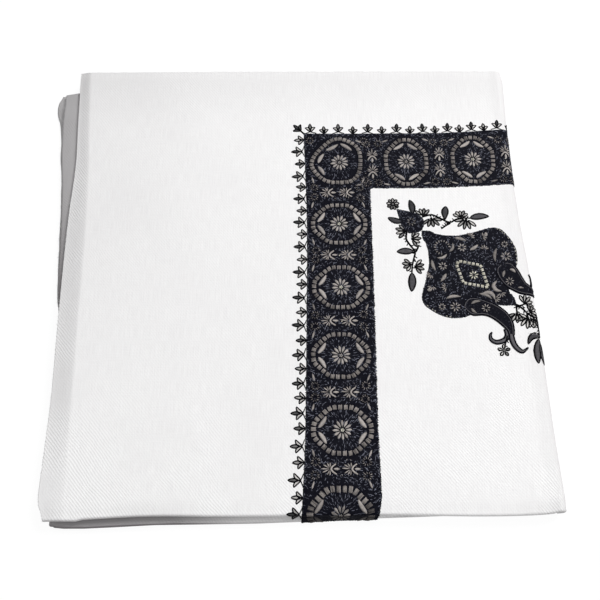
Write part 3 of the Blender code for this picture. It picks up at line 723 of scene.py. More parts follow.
border.panel(x[:, None] + 0 * share.T, inner[:, None] + (outer - inner)[:, None] * share.T, SUNK,
             GROUND_TOP + 0.04, GROUND_TONE)
x = np.linspace(0, CORNER_ROUND, 8)
inner = 99.4 - CORNER_ROUND + np.sqrt(np.maximum(CORNER_ROUND**2 - (CORNER_ROUND - x)**2, 0))
border.panel(77.5 + x[:, None] + 0 * share.T, inner[:, None] + (100.4 - inner)[:, None] * share.T, SUNK,
             GROUND_TOP + 0.02, GROUND_TONE)

grid = np.meshgrid(np.arange(1, 256, STITCH_STEP), np.arange(-272, 178, STITCH_STEP))
x, y = (k.ravel() for k in grid)
x = x + draw.uniform(-1, 1, len(x)) * STITCH_SHIFT
y = y + draw.uniform(-1, 1, len(y)) * STITCH_SHIFT
in_end = ((x > through(END_BAND, "outer", y, "y") + 0.6)
          & (x < through(END_BAND, "inner", y, "y") - 0.3) & (y < CORNER_TOP - 0.6))
in_side = ((y > through(SIDE_BAND, "inner", x, "x") + 0.3)
           & (y < through(SIDE_BAND, "outer", x, "x") - 0.6) & (x > 60))
x, y = x[in_end | in_side], y[in_end | in_side]
angle = 1.7 * np.sin(x / 9 + 0.6 * np.sin(y / 7)) + 1.5 * np.cos(y / 8 + 1.3)
angle = angle + draw.normal(0, 0.5, len(x))
# Most stitches are dark navy; the paler ones are painted glints of silk catching the light
dark = draw.random(len(x)) < DARK_STITCHES
tone = np.where(dark, draw.uniform(0, 0.1, len(x)), draw.uniform(0.3, 1.0, len(x)))
ringed = [MEDALLIONS[column] for column in ("x", "y", "across", "along", "turned")]
for cx, cy, across, along, turned in zip(*ringed):
    u, v = (y - cy, x - cx) if turned else (x - cx, y - cy)
    inside = octagon_share(u, v, across, along)
    around = np.arctan2(y - cy, x - cx) + draw.normal(0, 0.12, len(x))
    angle = np.where(inside < 0.8, around, angle)
    tone = np.where((inside > 0.78) & (inside < 1.06), tone * 0.15, tone)
length = STITCH_LENGTH * draw.uniform(0.7, 1.25, len(x))
run = towards(angle) * length[:, None] / 2
centre = np.stack((x, y), 1)
border.stitches(centre - run, centre + run, draw.uniform(0.55, 0.9, len(x)), GROUND_LOW,
                GROUND_TOP + 0.3, tone)


def edge_stitches(places, out, longest):
    """Stitches over a band's edge, which end a little inside or outside it."""
    out = np.array(out)
    reach = draw.uniform(0.1, 1.1, (len(places), 1)) * longest
    skew = draw.uniform(-0.6, 0.6, (len(places), 1))
    border.stitches(places - out * 2.2, places + out * reach + np.abs(out[::-1]) * skew, 1.0, ON_CLOTH,
                    GROUND_TOP + 0.25, draw.uniform(0, 0.4, len(places)))


y = np.arange(front_end, CORNER_TOP, EDGE_STEP)
x = np.arange(5, 254, EDGE_STEP)
inner_y, inner_x = y[y < 97], x[x > 79]
edge_stitches(np.stack((through(END_BAND, "outer", y, "y"), y), 1), (-1, 0), 0.6)
edge_stitches(np.stack((through(END_BAND, "inner", inner_y, "y"), inner_y), 1), (1, 0), 1)
outer_y = np.where(x < 78, CORNER_TOP, through(SIDE_BAND, "outer", x, "x"))
edge_stitches(np.stack((x, outer_y), 1), (0, 1), 0.6)
edge_stitches(np.stack((inner_x, through(SIDE_BAND, "inner", inner_x, "x")), 1), (0, -1), 1)

# The light colour of the navy silk is the colour of the painted glints
navy_silk = thread_finish("navy_silk", (0.0015, 0.0016, 0.0055), (0.25, 0.26, 0.32), 0.6)
ground = border.sew("border_ground", [navy_silk])
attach(ground, "root")
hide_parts("end_band", "side_band")


# Medallions: on each a stretched eight-sided ring of satin blocks, every block four grey silk
# threads side by side, with four slim leaves inside it and a rosette of twelve petals.
BLOCKS = 30
CORNER_BLOCKS = 35
BLOCK_THREADS = 4
THREAD_STEP = 0.97
RING_ROUND = 16
ROSETTE_PETALS = 12
MOTIF_LOW = 0.3
MOTIF_TOP = 1.1
CORNER_RING = ((29.9, 10), (27.5, 19), (19.2, 27.5), (3, 33.8), (-9, 29.0), (-25, 12), (-30.7, 1),
               (-30.7, -7), (-26.5, -14.5), (-18.8, -23.5), (-9.5, -28.8), (8.5, -29.2), (19, -27.2),
               (27, -18), (29.6, -8))
CORNER_BARS = ((-20.3, -1.8, -14.2, 10), (-20.3, -6.3, -13.8, -17.1), (-11.5, 14.6, 2.0, 22.6),
               (5.0, 23.4, 17.7, 14.6))


def curved(start, tip, bend, steps=9):
    """A line from start to tip, bowed to its left, with places closer at both ends."""
    start, tip = np.asarray(start, float), np.asarray(tip, float)
    t = (1 - np.cos(np.linspace(0, math.pi, steps))) / 2
    run = tip - start
    left = np.array((-run[1], run[0])) / np.hypot(*run)
    return t, start + run * t[:, None] + left * (bend * np.sin(math.pi * t))[:, None]


def leaf(work, start, tip, width, tone, slot=0, bend=0.0, widest=0.9, low=MOTIF_LOW, steps=9,
         blunt=0.75):
    """A satin leaf or petal: one rounded pad, narrow at both ends."""
    t, line = curved(start, tip, bend, steps)
    halves = np.maximum(width / 2 * np.sin(math.pi * t**widest)**blunt, 0.12)
    work.ribbon(line, halves, low, 0.7, tone, slot)


def rays(count, spin=0.0):
    """Directions spread evenly round a flower's heart."""
    return towards(2 * math.pi * (np.arange(count) + spin) / count)


def octagon(across, along):
    """A ring's outer corners: flat sides face the next medallions, points the band's edges."""
    quarter = [(across, across * OCTAGON_POINT), (along * OCTAGON_FLAT, along)]
    corners = quarter + [(-x, y) for x, y in reversed(quarter)]
    return corners + [(-x, -y) for x, y in corners]


def ring_frames(corners, count, inset, rounded=RING_ROUND):
    """Places evenly round a ring with rounded corners, its direction and its outward side there."""
    corners = np.array(corners, float)
    corners = corners * (1 - inset / np.hypot(*corners.T)[:, None])
    closed = np.concatenate((corners, corners[:1]))
    walked = np.concatenate(((0,), np.cumsum(np.hypot(*np.diff(closed, axis=0).T))))
    even = np.arange(480) / 480 * walked[-1]
    dense = np.stack([np.interp(even, walked, closed[:, k]) for k in (0, 1)], 1)
    near = range(-rounded, rounded + 1)
    smooth = sum(np.roll(dense, shift, axis=0) for shift in near) / len(near)
    at = (np.arange(count) + 0.5) / count * 480
    wrapped = np.concatenate((smooth, smooth[:20]))
    spots, ahead = (np.stack([np.interp(at + step, np.arange(500), wrapped[:, k]) for k in (0, 1)], 1)
                    for step in (0, 4))
    run = ahead - spots
    run = run / np.hypot(*run.T)[:, None]
    return spots, run, np.stack((run[:, 1], -run[:, 0]), 1)


medallions = Needlework()
for cx, cy, across, along, block, turned, fx, fy in zip(*MEDALLIONS.values()):
    def to_cloth(places, turned=turned, middle=np.array((cx, cy))):
        places = np.asarray(places, float)
        return (places[..., ::-1] if turned else places) + middle

    blocks = CORNER_BLOCKS if fx else BLOCKS
    corners = CORNER_RING if fx else octagon(across, along)
    spots, run, out = ring_frames(corners, blocks, block * 1.05)
    block_tone = draw.uniform(0.6, 1.0, blocks)
    for k in range(BLOCK_THREADS):
        middle = spots + run * (k - (BLOCK_THREADS - 1) / 2) * THREAD_STEP
        reach = block + draw.uniform(-0.3, 0.25, (2, blocks, 1))
        tone = block_tone + draw.uniform(-0.35, 0.2, blocks)
        medallions.stitches(to_cloth(middle - out * reach[0]), to_cloth(middle + out * reach[1]), 0.98,
                            MOTIF_LOW, MOTIF_TOP + 0.1, tone, taper=0.07)
    side_bars = [(a * across * 0.755, b * along * 0.09, a * across * 0.51, b * along * 0.54)
                 for a in (1, -1) for b in (1, -1)]
    for bar in CORNER_BARS if fx else side_bars:
        hand = np.sign(bar[0]) * np.sign(bar[1]) * (-1 if turned else 1)
        leaf(medallions, to_cloth(bar[:2]), to_cloth(bar[2:]), 4.7, draw.uniform(0.6, 0.9),
             bend=0.7 * hand, blunt=0.5)
    heart = np.array((cx + fx, cy + fy))
    spin = draw.uniform(0, 0.5)
    for ray in rays(ROSETTE_PETALS, spin):
        leaf(medallions, heart + ray * 2.9, heart + ray * draw.uniform(9.2, 10.3), 3.0,
             draw.uniform(0.6, 0.95), widest=1.5, blunt=0.6)
    thread = 1 if draw.random() < 0.6 else 0
    medallions.stitches(heart + rays(5) * 0.3, heart + rays(5) * 2.2, 1.3, MOTIF_LOW, MOTIF_TOP,
                        0.98, thread)

grey_silk = thread_finish("grey_silk", (0.045, 0.041, 0.041), (0.45, 0.41, 0.385), 0.55)
cream_silk = thread_finish("cream_silk", (0.30, 0.28, 0.22), (0.84, 0.81, 0.70), 0.45)
rings = medallions.sew("border_medallions", [grey_silk, cream_silk])
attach(rings, "root")
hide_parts(*[f"medallion_{n}_{part}" for n in range(1, 8) for part in ("ring", "rosette")])


# Flowers between the medallions: two grey eight-petalled ones side by side with a bead of white
# between them, and by the band's edges small dim ones, each with a slim leaf beside it.
GAPS = {"x": (42.8, 43.0, 42.8, 42.1, 41.6, 81.5, 157.3, 232.5),
        "y": (93.0, 17.3, -57.5, -133.8, -210.5, 131.8, 134.0, 137.2),
        "turned": (0, 0, 0, 0, 0, 1, 1, 1)}
PAIR_OFF = (-12.0, 8.5)
FANNED_PETALS = (92, 120, 148, 178, 208, 236, 264)
HOOKED_PETAL = ((5.4, 4.9), (2.2, 2.5), (0.8, 0.0), (2.3, -2.7), (6.2, -5.2))
EDGE_FLOWERS = {"u": (-26.5, -26.5, 24.0, 24.0), "v": (6.2, -6.2, 6.5, -6.5),
                "tone": (0.55, 0.55, 0.7, 0.7)}
EDGE_LEAVES = {"u": (-28.5, -29.0, 27.5, 27.0), "v": (15.5, -15.5, 15.0, -15.0),
               "turn": (105, 75, 68, 112)}
CORNER_FLOWERS = ((11.2, 159.8), (72.2, 159.4), (72.5, 108.5))
DABS = 12


def rounded_line(corners, count):
    """A smooth line through a few corners, with the share of its rows that each place has passed."""
    table = dict(enumerate(np.array(corners, float).T), row=np.arange(len(corners)))
    stops = np.linspace(0, len(corners) - 1, count)
    columns = [through(table, column, stops, "row") for column in range(len(corners[0]))]
    return stops, np.stack(columns, 1)


def cupped_flower(work, centre, lengthwise):
    """A flower seen from its side: slim petals fan out behind a hooked one and a full one."""
    ahead = towards(lengthwise)
    side = np.array((-ahead[1], ahead[0]))
    for turn in FANNED_PETALS:
        angle = math.radians(turn + draw.uniform(-5, 5))
        ray = ahead * math.cos(angle) + side * math.sin(angle)
        reach = 6.1 + 3.0 * abs(math.cos(angle))**3
        leaf(work, centre + ray * 1.6, centre + ray * reach, 1.65, draw.uniform(0.6, 1.0), widest=1.35,
             steps=6, blunt=0.6)
    stops, line = rounded_line(HOOKED_PETAL, 12)
    halves = 0.3 + 0.85 * np.sin(math.pi * (stops + 0.5) / 5)**0.7
    work.ribbon(centre + line @ np.stack((ahead, side)), halves, MOTIF_LOW, 0.75,
                draw.uniform(0.75, 1.0))
    leaf(work, centre + ahead * 3.2, centre + ahead * 9.2, 3.1, draw.uniform(0.75, 1.0), steps=7)


def black_round(work, centre, reach):
    """Black stitches laid like rays under a flower, which part its petals from the ground."""
    ray = rays(18, draw.random())
    work.stitches(centre + ray * 0.4, centre + ray * reach * draw.uniform(0.85, 1.05, (18, 1)), 1.7,
                  MOTIF_LOW, MOTIF_LOW + 0.5, 0.02, 2)



flowers = Needlework()
for *gap, turned in zip(*GAPS.values()):
    def off_gap(u, v, turned=turned, middle=np.array(gap)):
        return middle + ((v, u) if turned else (u, v))

    for off in PAIR_OFF:
        black_round(flowers, off_gap(off, 0), 8.0)
        cupped_flower(flowers, off_gap(off, 0), -math.pi / 2 * turned)
    bead = off_gap(0, 0) + draw.uniform(-1, 1, 2)
    if draw.random() < 0.4:
        flowers.stitches(bead - (0.8, 0), bead + (0.8, 0), 1.5, MOTIF_LOW, MOTIF_TOP, 1.0, 1)
    dabs = draw.uniform(-1, 1, (DABS, 2)) * ((9, 31) if turned else (31, 9)) + gap
    slant = np.stack((draw.uniform(-0.6, 0.6, DABS), draw.uniform(0.5, 0.9, DABS)), 1)
    flowers.stitches(dabs - slant, dabs + slant, 0.9, MOTIF_LOW, MOTIF_TOP - 0.2,
                     draw.uniform(0.4, 1.0, DABS))
    for u, v, tone in zip(*EDGE_FLOWERS.values()):
        centre = off_gap(u, v) + draw.uniform(-0.8, 0.8, 2)
        black_round(flowers, centre, 6.4)
        ray = rays(10, draw.random())
        flowers.stitches(centre + ray * 1.9, centre + ray * draw.uniform(4.4, 5.6, (10, 1)), 1.2,
                         MOTIF_LOW, MOTIF_TOP - 0.1, draw.uniform(0.4, 1.2, 10) * tone)
    for u, v, turn in zip(*EDGE_LEAVES.values()):
        ray = towards(math.radians(90 - turn if turned else turn)) * 3.9
        leaf(flowers, off_gap(u, v) - ray, off_gap(u, v) + ray, 2.4, draw.uniform(0.4, 0.85), steps=7)

for heart in np.array(CORNER_FLOWERS):
    ray = rays(10, draw.random())
    black_round(flowers, heart, 6.4)
    flowers.stitches(heart + ray * 2.2, heart + ray * draw.uniform(4.4, 5.6, (10, 1)), 1.2,
                     MOTIF_LOW, MOTIF_TOP - 0.1, draw.uniform(0.3, 0.9, 10))
between = flowers.sew("border_flowers", [grey_silk, cream_silk, navy_silk])
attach(between, "root")


# Sprigs: a row of three-leaved sprigs, large and small by turns, stands along the outer edge of
# each band, and one leans out from the corner. Each leaf is a black outline round pale thread.
END_SPRIGS = {"number": (0, 3, 7, 13, 18, 22, 27),
              "y": (161.2, 113.8, 56.6, -32, -109.7, -171, -254.6)}
SIDE_SPRIGS = 17
OUTLINE = 0.8


def outlined_leaf(work, start, tip, width, tone, bend=0.0, widest=0.9, low=ON_CLOTH, fill=1):
    """A leaf of pale thread inside a close black outline."""
    t, line = curved(start, tip, bend)
    halves = np.maximum(width / 2 * np.sin(math.pi * t**widest)**0.7, 0.1)
    work.ribbon(line, np.maximum(halves - 0.4, 0.05), low, 0.4, tone, fill)
    side = left_of(np.gradient(line, axis=0)) * halves[:, None]
    edge = np.concatenate((line + side, (line - side)[-2:0:-1]))
    work.ribbon(edge, OUTLINE, low, 0.75, draw.uniform(0, 0.3), 0, across=4, closed=True)


def cord(work, line, half, low=ON_CLOTH, rise=0.8, tone=0.1, slot=0):
    """A stem or an outline: one run of stem stitch, thinner at its tip."""
    line = np.asarray(line, float)
    dense = np.linspace(0, len(line) - 1, 3 * len(line) - 2)
    at = np.arange(len(line))
    smooth = np.stack([np.interp(dense, at, line[:, k]) for k in (0, 1)], 1)
    smooth[1:-1] = (smooth[:-2] + 2 * smooth[1:-1] + smooth[2:]) / 4
    halves = np.interp(dense, (0, len(line) - 1), np.broadcast_to(half, 2))
    work.ribbon(smooth, halves, low, rise, tone, slot, across=4)


def sprig(work, root, up, height, large, pale=0.85):
    """One sprig: two side leaves and a middle leaf on a short forked stem."""
    up = np.asarray(up, float)
    side = np.array((-up[1], up[0]))
    stem, rise, spread = (0.2, 0.62, 0.43) if large else (0.04, 0.54, 0.52)
    fork = root + up * height * stem
    for hand in (1, -1):
        tip = root + up * height * rise + side * hand * height * spread
        outlined_leaf(work, fork, tip, 3.1, pale * draw.uniform(0.8, 1.2), bend=-1.1 * hand)
        if large:
            bow = root + up * 1.6 + side * hand * 2.6
            cord(work, [fork, bow, root + side * hand * 6.8], (0.7, 0.5))
    outlined_leaf(work, fork + up * height * 0.12, root + up * height, 3.4,
                  pale * draw.uniform(-0.4, 0.4) if large else pale * draw.uniform(0.1, 0.8))


sprigs = Needlework()
for k in range(END_SPRIGS["number"][-1] + 1):
    y = float(np.interp(k, END_SPRIGS["number"], END_SPRIGS["y"])) + draw.uniform(-0.6, 0.6)
    root = np.array((float(through(END_BAND, "outer", y, "y")), y))
    large = k % 2 == 1
    lean = np.array((-1, draw.uniform(-0.08, 0.08)))
    height = draw.uniform(13.8, 15.0) if large else draw.uniform(10.4, 11.4)
    sprig(sprigs, root, lean / np.hypot(*lean), height, large)
for k in range(SIDE_SPRIGS):
    x = 12 + 15.25 * k + 7 * math.sin(math.pi * k / 14)**2
    y = CORNER_TOP if x < 78 else float(through(SIDE_BAND, "outer", x, "x"))
    large = k % 2 == 0
    lean = np.array((draw.uniform(-0.08, 0.08), 1))
    sprig(sprigs, np.array((x, y)), lean / np.hypot(*lean), 12.6 if large else 9.4, large)
corner = np.array((float(through(END_BAND, "outer", 168, "y")), CORNER_TOP))
out = np.array((-0.72, 0.69))
cord(sprigs, [corner + (1, -1), corner + out * 2.5, corner + out * 6], (1.2, 1.0))
sprig(sprigs, corner + out * 4.5, out, 11.5, False, 0.1)

black_silk = thread_finish("black_silk", (0.001, 0.001, 0.002), (0.012, 0.012, 0.018), 0.6)
pale_silk = thread_finish("pale_silk", (0.05, 0.05, 0.052), (0.66, 0.64, 0.62), 0.55)
row = sprigs.sew("edge_sprigs", [black_silk, pale_silk])
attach(row, "root")
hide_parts("end_sprigs", "side_sprigs", "corner_sprig")


# Corner paisley: inside the band's corner, on its diagonal, a bud over a broad tulip-shaped body
# of navy stitches, and below it two paisley tails that curl away. Each half mirrors the other.
# Pale flowers, leaves and a ring of cream blocks are worked on the dark ground.
AXIS_TOP = (133.0, 46.0)
DIAGONAL = math.sqrt(0.5)
BODY_HALF = {"along": (0, 5, 15, 30, 41, 50, 57, 65, 77, 87, 97, 104, 108, 112, 119, 127),
             "out": (0.6, 5.5, 9.5, 22.5, 39.5, 56, 61.5, 62, 59.5, 54.5, 44, 29, 17.5, 11, 7.2, 0.8)}
BUD_HALF = {"along": (-37.5, -28.5, -19.5, -10.5, -4.5, -1.5), "out": (0.4, 6, 11, 12, 8, 1.5)}
LEFT_TAIL = {"x": (172.6, 175.5, 181.5, 193.3, 202.6, 210.8, 216.0, 218.4, 218.9),
             "y": (-42.2, -41.8, -41.4, -43.0, -46.8, -53.1, -60.5, -67.0, -73.0),
             "half": (1.5, 6.6, 10.2, 8.4, 7.7, 7.4, 6.0, 4.0, 2.9)}
RIGHT_TAIL = {"x": (217.5, 218.5, 221.0, 225.5, 229.8, 236.0, 245.7, 256.0, 262.0),
              "y": (6.6, 4.0, -2.5, -10.5, -15.5, -20.9, -24.4, -25.0, -26.0),
              "half": (4.0, 9.0, 11.4, 11.0, 9.4, 7.0, 4.7, 3.4, 2.0)}
HOOKS = (((218.6, -63.7), (218.7, -75.4), (221.1, -84.1), (226.0, -89.9), (229.7, -90.6),
          (234.8, -86.8)),
         ((214.0, -66.6), (214.7, -73.5), (211.0, -78.8), (203.0, -81.0), (197.7, -78.1),
          (197.0, -73.5), (198.8, -70.2)),
         ((243.0, -21.5), (246.6, -16.5), (246.8, -9.5), (244.2, -4.5)))
HOOK_HALVES = (2.4, 2.1, 0.9)
EYE_CORNERS = ((169.4, 11), (166.6, 6.5), (172.6, -15.6), (200.0, -20.8), (193.8, 6.2))
EYE_CENTRE = (73.5, 0.0)
EYE_BLOCKS = 23
BODY_FLOWERS = {"along": (43.5, 83.5, 73.5), "out": (15.5, 41.0, 51.0), "size": (4.8, 5.6, 3.9),
                "tone": (0.9, 0.85, 0.75)}
BODY_LEAVES = {"along": (30.0, 51.5, 70.5, 49.6, 37.0), "out": (18.5, 19.5, 41.0, 47.5, 2.0),
               "to_along": (41.5, 53.5, 80.0, 53.5, 32.5), "to_out": (25.0, 30.5, 28.5, 45.0, 12.5),
               "width": (4.4, 4.2, 4.2, 3.8, 3.6), "bend": (0.8, -0.6, -1.6, 0, -2.2)}
CRESCENTS = (((208.8, -12.5), (205.0, -17.7), (207.2, -22.8), (213.0, -24.6)),
             ((190.5, -28.3), (198.4, -25.8), (203.2, -28.2), (205.2, -34.0)))
BODY_FANS = {"along": (62.0, 41.0, 50.5, 107.0), "out": (31.0, 31.5, 41.0, 4.5),
             "turn": (130, 95, 60, -25)}
BUD_ROUND = (28.5, 0.5)
BUD_FLOWER = (-16, 0)
TIP_LEAN = {"from": 104, "to": 127, "out": 5.5}
DARK_GROUND = 0.6
TAIL_LEAVES = {"x": (218.5, 223.9, 230.5, 179.6, 179.3, 189),
               "y": (-0.8, 0.5, -20.4, -39.0, -43.6, -27.5),
               "to_x": (216.2, 229.4, 236.5, 189.8, 184.8, 202),
               "to_y": (-8.6, -3.2, -21.0, -35.8, -49.0, -33.5),
               "width": (3.6, 4.0, 2.4, 3.4, 3.6, 3.8), "bend": (-0.6, 1.2, 0.4, 1.2, -0.8, 2.0)}
TAIL_FLOWERS = ((222.6, -13.2), (194.8, -43.6))


def tip_lean(along):
    """How far the body's lower tip leans off its axis."""
    return TIP_LEAN["out"] * ease((along - TIP_LEAN["from"]) / (TIP_LEAN["to"] - TIP_LEAN["from"]))


def on_axis(along, out):
    """Places on the cloth from the motif's own axes: down the corner's diagonal and out from it."""
    along = np.asarray(along, float)
    out = np.asarray(out, float) + tip_lean(along)
    return np.stack((AXIS_TOP[0] + (along + out) * DIAGONAL,
                     AXIS_TOP[1] + (out - along) * DIAGONAL), -1)


def mirrored_ground(work, table, steps, ranks):
    """The navy ground of a form given by its half width along the axis."""
    ends = table["along"][0], table["along"][-1]
    along = ends[0] + (ends[1] - ends[0]) * (1 - np.cos(np.linspace(0, math.pi, steps))) / 2
    share = np.linspace(-1, 1, ranks)
    half = through(table, "out", along, "along") + 0.25 * draw.standard_normal(steps)
    places = on_axis(along[:, None] + 0 * share, np.maximum(half, 0.3)[:, None] * share)
    work.panel(places[..., 0][:, ::-1], places[..., 1][:, ::-1], SUNK, GROUND_TOP, GROUND_TONE)


def scatter(work, x, y, inside):
    """Short ground stitches at jittered places, each turned its own way."""
    x = x + draw.uniform(-STITCH_SHIFT, STITCH_SHIFT, x.shape)
    y = y + draw.uniform(-STITCH_SHIFT, STITCH_SHIFT, y.shape)
    kept = inside(x, y)
    x, y = x[kept], y[kept]
    angle = 1.6 * np.sin(x / 8 + np.sin(y / 6)) + 1.4 * np.cos(y / 7) + draw.normal(0, 0.6, len(x))
    run = towards(angle) * draw.uniform(1.0, 1.8, (len(x), 1))
    # Most stitches are dark navy; the paler ones are painted glints of silk catching the light
    dark = draw.random(len(x)) < DARK_GROUND
    tone = np.where(dark, draw.uniform(0, 0.1, len(x)), draw.uniform(0.3, 1.0, len(x)))
    centre = np.stack((x, y), 1)
    work.stitches(centre - run, centre + run, draw.uniform(0.6, 0.95, len(x)), GROUND_LOW,
                  GROUND_TOP + 0.28, tone)


def within(table, margin):
    """A test of places against a form given by its half width along the axis."""
    def inside(x, y):
        along = ((x - AXIS_TOP[0]) - (y - AXIS_TOP[1])) * DIAGONAL
        out = ((x - AXIS_TOP[0]) + (y - AXIS_TOP[1])) * DIAGONAL - tip_lean(along)
        held = (along > table["along"][0] + margin) & (along < table["along"][-1] - margin)
        return held & (np.abs(out) < through(table, "out", along, "along") - margin)
    return inside


def edges_of(line, halves):
    """The two edges of a band that runs along a line."""
    side = left_of(np.gradient(line, axis=0)) * halves[:, None]
    return line + side, line - side


def fanned(turn, count, step):
    """Directions spread by a step in degrees to both sides of a turn."""
    return towards(np.radians(turn + (np.arange(count) - (count - 1) / 2) * step))


def fan(work, root, turn, size, tone, petals=5):
    """A half-open flower: short petals spread from one root."""
    for ray in fanned(turn, petals, 33):
        leaf(work, root + ray * 1.2, root + ray * size * draw.uniform(0.85, 1.05), 1.5,
             tone * draw.uniform(0.7, 1.05), widest=1.2, steps=6)


paisley = Needlework()
mirrored_ground(paisley, BODY_HALF, 64, 41)
mirrored_ground(paisley, BUD_HALF, 24, 13)
grid = [k.ravel() for k in np.meshgrid(np.arange(104, 240, 2.0), np.arange(-56, 76, 2.0))]
scatter(paisley, *grid, within(BODY_HALF, 1.0))
scatter(paisley, *grid, within(BUD_HALF, 1.0))
for table, margin in ((BODY_HALF, 0.4), (BUD_HALF, 0.3)):
    along = np.linspace(table["along"][0], table["along"][-1], 180)
    half = through(table, "out", along, "along")
    for hand in (1, -1):
        inner = on_axis(along, hand * (half - 2.0).clip(0))
        past = along + draw.uniform(-0.5, 0.5, 180)
        outer = on_axis(past, hand * (half + margin * draw.uniform(-0.5, 1.6, 180)))
        paisley.stitches(inner, outer, 1.0, ON_CLOTH, GROUND_TOP + 0.25, draw.uniform(0, 0.35, 180))

tails = Needlework()
for table in (LEFT_TAIL, RIGHT_TAIL):
    stops, rows = rounded_line(np.stack(list(table.values()), 1), 24)
    rows = rows[tails.reaches(rows)]
    line, halves = rows[:, :2], rows[:, 2]
    share = np.linspace(-1, 1, 9)
    one, other = edges_of(line, halves)
    places = (one[:, None] + other[:, None]) / 2 + (one - other)[:, None] / 2 * share[None, :, None]
    tails.panel(places[..., 0], places[..., 1], 0.1, GROUND_TOP + 0.25, 0.03)
    for step in range(len(line) * 6):
        k = draw.integers(1, len(line) - 1)
        spot = line[k] + (one[k] - line[k]) * draw.uniform(-0.75, 0.75)
        ray = towards(draw.uniform(0, math.pi)) * 1.3
        tails.stitches(spot - ray, spot + ray, 0.8, 0.4, GROUND_TOP + 0.5, draw.uniform(0, 0.5) ** 1.5)
    for edge in edges_of(line, halves - 1.5):
        cord(tails, edge, 0.5, 0.4, 0.75, 1.0, 1)
    for edge in (one, other):
        cord(tails, edge, 0.8, ON_CLOTH, 1.0, 0.0)
for hook, half in zip(HOOKS, HOOK_HALVES):
    stops, line = rounded_line(hook, 22)
    halves = half * (1 - (stops / stops[-1])**3) + 0.15
    tone, thread = (0.8, 1) if half > 1.5 else (0.0, 0)
    tails.ribbon(line, np.maximum(halves - 0.5, 0.1), 0.0, 0.5, tone, thread)
    for edge in edges_of(line, halves):
        cord(tails, edge, (0.95, 0.75), ON_CLOTH, 1.1, 0.0)

motifs = Needlework()
for hand in (1, -1):
    for along, out, size, tone in zip(*BODY_FLOWERS.values()):
        heart = on_axis(along, hand * out)
        for ray in rays(8, draw.random()):
            leaf(motifs, heart + ray * 1.5, heart + ray * size * draw.uniform(0.9, 1.08), 1.8,
                 tone * draw.uniform(0.75, 1.1), widest=1.2, steps=6)
    for along, out, to_along, to_out, width, bend in zip(*BODY_LEAVES.values()):
        leaf(motifs, on_axis(along, hand * out), on_axis(to_along, hand * to_out), width,
             draw.uniform(0.4, 0.7), bend=bend * hand)
    for along, out, turn in zip(*BODY_FANS.values()):
        turn = turn - 45 if hand > 0 else -45 - turn
        fan(motifs, on_axis(along, hand * out), turn, 5.6, 0.85)
    along = np.arange(52, 98, 3.1)
    half = through(BODY_HALF, "out", along, "along") - 1.4
    ahead = through(BODY_HALF, "out", along + 1.8, "along") - 1.4
    shown = draw.random(len(along)) < (0.85 if hand > 0 else 0.35)
    motifs.stitches(on_axis(along, hand * half)[shown], on_axis(along + 1.8, hand * ahead)[shown], 1.0,
                    MOTIF_LOW, MOTIF_TOP, 0.8, 1)
for corners in CRESCENTS:
    stops, line = rounded_line(corners, 14)
    halves = 0.3 + 2.2 * np.sin(math.pi * stops / stops[-1])**0.8
    motifs.ribbon(line, halves, MOTIF_LOW, 0.7, draw.uniform(0.5, 0.65))
heart = on_axis(*BUD_ROUND)
for ray in fanned(135, 13, 21):
    motifs.stitches(heart + ray * 6.3, heart + ray * 9.4, 1.5, MOTIF_LOW, MOTIF_TOP,
                    draw.uniform(0.45, 0.85))
heart = on_axis(*BUD_FLOWER)
for ray in rays(8, 0.3):
    motifs.stitches(heart + ray * 2.0, heart + ray * 5.2, 1.3, MOTIF_LOW, MOTIF_TOP - 0.2,
                    draw.uniform(0.25, 0.6))
eye_middle = on_axis(*EYE_CENTRE)
spots, run, out = ring_frames(np.array(EYE_CORNERS) - eye_middle, EYE_BLOCKS, 1.0, 12)
spots = spots + eye_middle
for k in (-1, 0, 1):
    middle = spots + run * k * 1.05
    motifs.stitches(middle - out * 1.8, middle + out * 1.8, 1.1, MOTIF_LOW, MOTIF_TOP + 0.15,
                    draw.uniform(0.55, 1.0, EYE_BLOCKS), 1, taper=0.08)
for ray in rays(8, 0.8 / math.pi):
    leaf(motifs, eye_middle + ray * 1.4, eye_middle + ray * 5.2, 1.7, draw.uniform(0.55, 0.8), 1,
         widest=1.2, steps=6)
for x, y, to_x, to_y, width, bend in zip(*TAIL_LEAVES.values()):
    leaf(motifs, (x, y), (to_x, to_y), width, draw.uniform(0.4, 0.65), bend=bend, low=0.5)
for heart in TAIL_FLOWERS:
    for ray in rays(8, 0.2):
        leaf(motifs, heart + ray * 1.3, heart + ray * 4.8, 1.5, draw.uniform(0.5, 0.9), widest=1.2,
             low=0.5, steps=6)

slate_silk = thread_finish("slate_silk", (0.015, 0.015, 0.017), (0.125, 0.12, 0.13), 0.55)
body = paisley.sew("paisley_ground", [navy_silk])
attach(body, "root")
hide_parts("paisley_body", "paisley_bud")
curls = tails.sew("paisley_tails", [navy_silk, slate_silk])
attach(curls, "root")
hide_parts("paisley_tail")
figures = motifs.sew("paisley_figures", [grey_silk, cream_silk])
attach(figures, "root")
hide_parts("paisley_eye_ring", "paisley_eye_flower")


